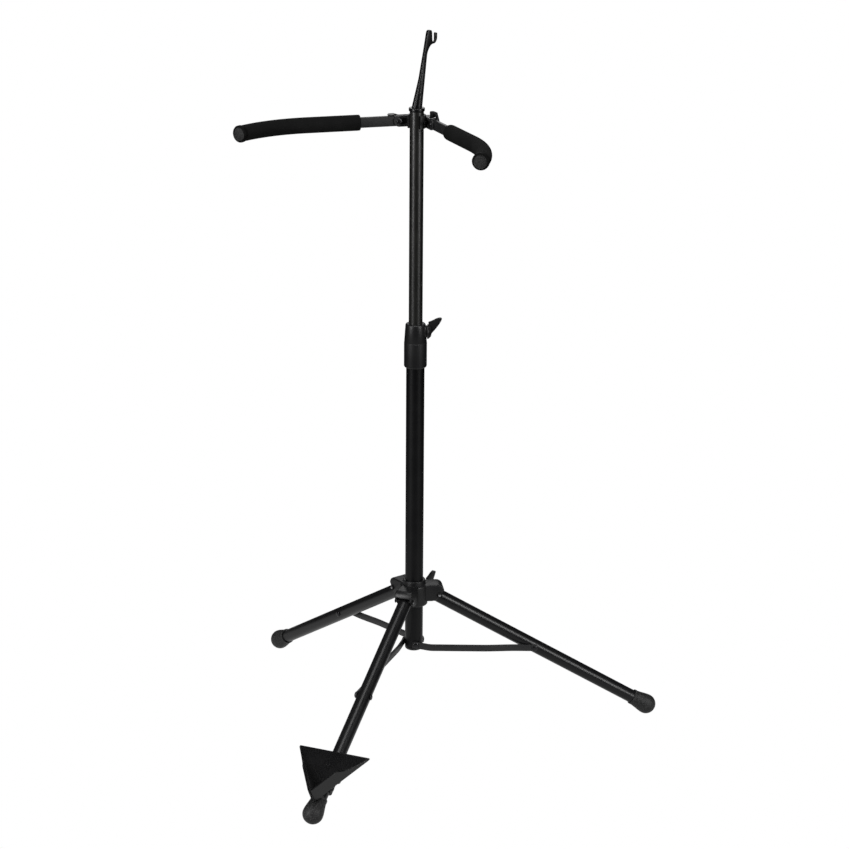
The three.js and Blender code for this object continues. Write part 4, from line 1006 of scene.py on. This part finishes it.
stand_in(hook, "bow_hook", column_place(INNER_TOP, HOOK_TURN), smooth=32, finish=hook_plastic)

# %% [markdown]
# ## End pin tray
# The end pin rests in a pressed steel tray: a triangle of sheet with a low wall along each slanted side.
# Folding the walls up would leave the corner at the point open. So floor and walls are cut out and joined,
# and their edges are rounded together.

# %% End pin tray
TRAY_POINT = 349.95
TRAY_UNDER = 9.1
TRAY_DEPTH = 81
TRAY_HALF = 51
TRAY_ANGLE = atan2(TRAY_HALF, TRAY_DEPTH)
TRAY_SIDE = hypot(TRAY_HALF, TRAY_DEPTH)
TRAY_SHEET = 1.8
FOLD = 0.6
CORNER = 2.5
# The rivets' places down the leg
RIVET_PLACES = (292.95, 314.95)

lap = TRAY_SHEET - FOLD
back = TRAY_POINT - TRAY_DEPTH
half_width = TRAY_HALF + lap / cos(TRAY_ANGLE)
floor_point = TRAY_POINT + lap / sin(TRAY_ANGLE)
tray_floor = [(back, -half_width, CORNER), (floor_point, 0, CORNER), (back, half_width, CORNER)]
tray = cut_out(rounded(tray_floor), TRAY_SHEET)
wall_outline = rounded([
    (1.6, FOLD, 0), (1.6, 25, CORNER), (TRAY_SIDE * 0.46, 25, 6), (TRAY_SIDE * 0.58, 14, 8),
    (TRAY_SIDE * 0.8, 7.5, 10), (TRAY_SIDE - CORNER, 3.6, 0.9), (TRAY_SIDE - CORNER, FOLD, 0)], 7)
for side, start in ((1, 0), (-1, -TRAY_SHEET)):
    wall = cut_out(wall_outline, TRAY_SHEET, start)
    placed(wall, shift(TRAY_POINT) @ turn(pi - side * TRAY_ANGLE) @ UPRIGHT)
    boolean(tray, [wall], "UNION")
bevel(tray, 0.45, 3, 50)
countersink = turned([(2.3, -2), (2.3, 0.6), (3.7, 1.81), (3.7, 3)], 48)
boolean(tray, at_each(countersink, [shift(x) for x in RIVET_PLACES]), "DIFFERENCE")
tray_place = LEG_PLACES["front"] @ shift(z=TRAY_UNDER)
stand_in(tray, "end_pin_tray", tray_place)
tray_rivet = turned([(2, -3), (2, 0.6), (3.25, 1.7), (3.2, 1.8), (1.6, 1.8), (1.3, 1.5)], 48)
rivet_places = {i + 1: tray_place @ shift(x) for i, x in enumerate(RIVET_PLACES)}
stand_ins(tray_rivet, "tray_rivet", rivet_places, finish=tray_enamel)

# %% [markdown]
# ## Saddle and its screws
# The tray sits on a plastic saddle round the front leg, held by two cross-headed screws. A subdivided cage
# would round its ends too much. It has one section all along, so that is cut out, eased and bored for the
# leg. The screws' crosses are cut for real, because a painted cross would stay flat.

# %% Saddle and its screws
SADDLE_START = 285.45
SADDLE_LENGTH = 37
# The screws' places down the leg and above the leg's pivot
SADDLE_SCREWS = ((298.95, -11.5), (318.95, -1.5))
SCREW_SEAT = 11.8

section = rounded([(-11.5, -15.625, 8), (11.5, -15.625, 8), (11.5, 8.8, 0), (-11.5, 8.8, 0)], 8)
saddle = bevel(cut_out(section, SADDLE_LENGTH, SADDLE_START), 0.9, 3, 50)
placed(saddle, turn(pi / 2) @ UPRIGHT)
screw_lines = [shift(x, 0, z) @ ALONG_Y for x, z in SADDLE_SCREWS]
saddle_cuts = [placed(rod(TUBE_BORE, 280, 330, 96), shift(z=-LEG_DROP) @ ALONG_X)]
saddle_cuts += at_each(rod(2.3, 5.8, 12), [shift(x) for x in RIVET_PLACES])
saddle_cuts += at_each(rod(RIVET_HOLE, 4.8, 23), screw_lines)
boolean(saddle, saddle_cuts, "DIFFERENCE")
stand_in(saddle, "tray_saddle", LEG_PLACES["front"])
screw = rivet(RIVET_SHANK, LEG_TUBE + 0.6, 4.6, 3.4, SCREW_SEAT)
cross = [block((-2.6, -0.5, 13.9), (2.6, 0.5, 16)), block((-0.5, -2.6, 13.9), (0.5, 2.6, 16))]
boolean(screw, cross, "DIFFERENCE")
stand_ins(screw, "tray_screw", {i + 1: LEG_PLACES["front"] @ line for i, line in enumerate(screw_lines)})

# %% [markdown]
# ## Floor and world
# The photograph is a product picture on pure white. A very bright floor would give that too, but would
# light the blacks from below. So the floor is a plain grey, and only the camera sees it and the world as
# white. The gloss rays see pale paper round the stand, which fades outwards.

# %% Floor and world
FLOOR_SIZE = 14
FLOOR_GREY = "#727270"
WORLD_STRENGTH = 0.05
# The pale paper in the gloss: its strength, and where its fading starts and ends, in metres
PAPER_STRENGTH = 0.7
FADE_START = 0.4
FADE_END = 1.0
WHITE = (1, 1, 1, 1)


def white_to_camera(tree, kind, shader_output, target):
    """Mixes a shader with plain white that only the camera sees."""
    rays = add(tree, "ShaderNodeLightPath")
    white = add(tree, kind, {"Color": WHITE, "Strength": 1.0})
    seen = {0: rays.outputs["Is Camera Ray"], 1: shader_output, 2: white.outputs[0]}
    mix = add(tree, "ShaderNodeMixShader", seen)
    tree.links.new(mix.outputs[0], target)


begin()
bpy.ops.mesh.primitive_plane_add(size=FLOOR_SIZE, location=(0, 0, 0))
floor = bpy.context.object
floor.name = "studio_floor"
floor_paint = bpy.data.materials.new("pale studio floor")
floor_paint.use_nodes = True
floor_tree = floor_paint.node_tree
floor_shader = floor_tree.nodes["Principled BSDF"]
floor_shader.inputs["Base Color"].default_value = linear(FLOOR_GREY)
floor_shader.inputs["Roughness"].default_value = 0.8
place = add(floor_tree, "ShaderNodeTexCoord").outputs["Object"]
away = add(floor_tree, "ShaderNodeVectorMath", {0: place}, operation="LENGTH").outputs["Value"]
fade = {"From Min": FADE_START, "From Max": FADE_END, "To Min": PAPER_STRENGTH, "To Max": 0.0}
glow = add(floor_tree, "ShaderNodeMapRange", {"Value": away, **fade}).outputs["Result"]
paper = add(floor_tree, "ShaderNodeEmission", {"Color": WHITE, "Strength": glow})
glossy = add(floor_tree, "ShaderNodeLightPath").outputs["Is Glossy Ray"]
in_gloss = {0: glossy, 1: floor_shader.outputs[0], 2: paper.outputs[0]}
mirrored = add(floor_tree, "ShaderNodeMixShader", in_gloss)
floor_surface = floor_tree.nodes["Material Output"].inputs["Surface"]
white_to_camera(floor_tree, "ShaderNodeEmission", mirrored.outputs[0], floor_surface)
floor.data.materials.append(floor_paint)

world = bpy.data.worlds.new("studio")
bpy.context.scene.world = world
world.use_nodes = True
world_tree = world.node_tree
backdrop = world_tree.nodes["Background"]
backdrop.inputs["Color"].default_value = WHITE
backdrop.inputs["Strength"].default_value = WORLD_STRENGTH
world_surface = world_tree.nodes["World Output"].inputs["Surface"]
white_to_camera(world_tree, "ShaderNodeBackground", backdrop.outputs[0], world_surface)
print("floor", FLOOR_SIZE, "m wide, world", WORLD_STRENGTH)

# %% [markdown]
# ## Lights
# Black tubes show mostly what they mirror, so the shape of the lights draws them. Round lamps would leave
# short dots. Two tall, narrow softboxes give each tube its long streaks, a square one above lights the
# tops, and a weak one behind lifts the back a little.

# %% Lights
LOOK_HEIGHT = 0.5


def softbox(name, azimuth, elevation, distance, size, power):
    """A rectangular light that looks at the middle of the stand, with its size in metres."""
    target = AXIS + Vector((0, 0, LOOK_HEIGHT))
    (a, e) = (radians(azimuth), radians(elevation))
    offset = Vector((sin(a) * cos(e), -cos(a) * cos(e), sin(e))) * distance
    bpy.ops.object.light_add(type="AREA", location=target + offset)
    light = bpy.context.object
    light.name = name
    light.rotation_euler = (-offset).to_track_quat("-Z", "Y").to_euler()
    light.data.shape = "RECTANGLE"
    (light.data.size, light.data.size_y) = size
    light.data.energy = power
    return light


softboxes = [
    softbox("left_softbox", azimuth=-29, elevation=18, distance=2.6, size=(0.45, 2.2), power=66),
    softbox("right_softbox", azimuth=74, elevation=18, distance=2.6, size=(0.45, 2.2), power=50),
    softbox("top_softbox", azimuth=22, elevation=80, distance=2.4, size=(1.2, 1.2), power=26),
    softbox("back_softbox", azimuth=203, elevation=34, distance=2.6, size=(0.7, 1.6), power=8),
]
print("lights", {light.name: light.data.energy for light in softboxes})

# %% [markdown]
# ## Camera
# The photograph was taken from the right of the front leg and a little above, through a long lens. By eye,
# every leg would end up a little off, so the camera's place and lens were worked out from the upright
# column and the three feet on the floor.

# %% Camera
CAMERA_PLACE = (1.3635, -3.1396, 1.6330)
CAMERA_TURNS = (71.408, -0.374, 22.829)
CAMERA_LENS = 112.62

bpy.ops.object.camera_add(location=CAMERA_PLACE)
camera = bpy.context.object
camera.rotation_euler = Euler([radians(v) for v in CAMERA_TURNS])
camera.data.lens = CAMERA_LENS
camera.data.sensor_width = 36
bpy.context.scene.camera = camera
bpy.context.scene.view_settings.view_transform = "Standard"
print("camera", CAMERA_PLACE, "lens", CAMERA_LENS)
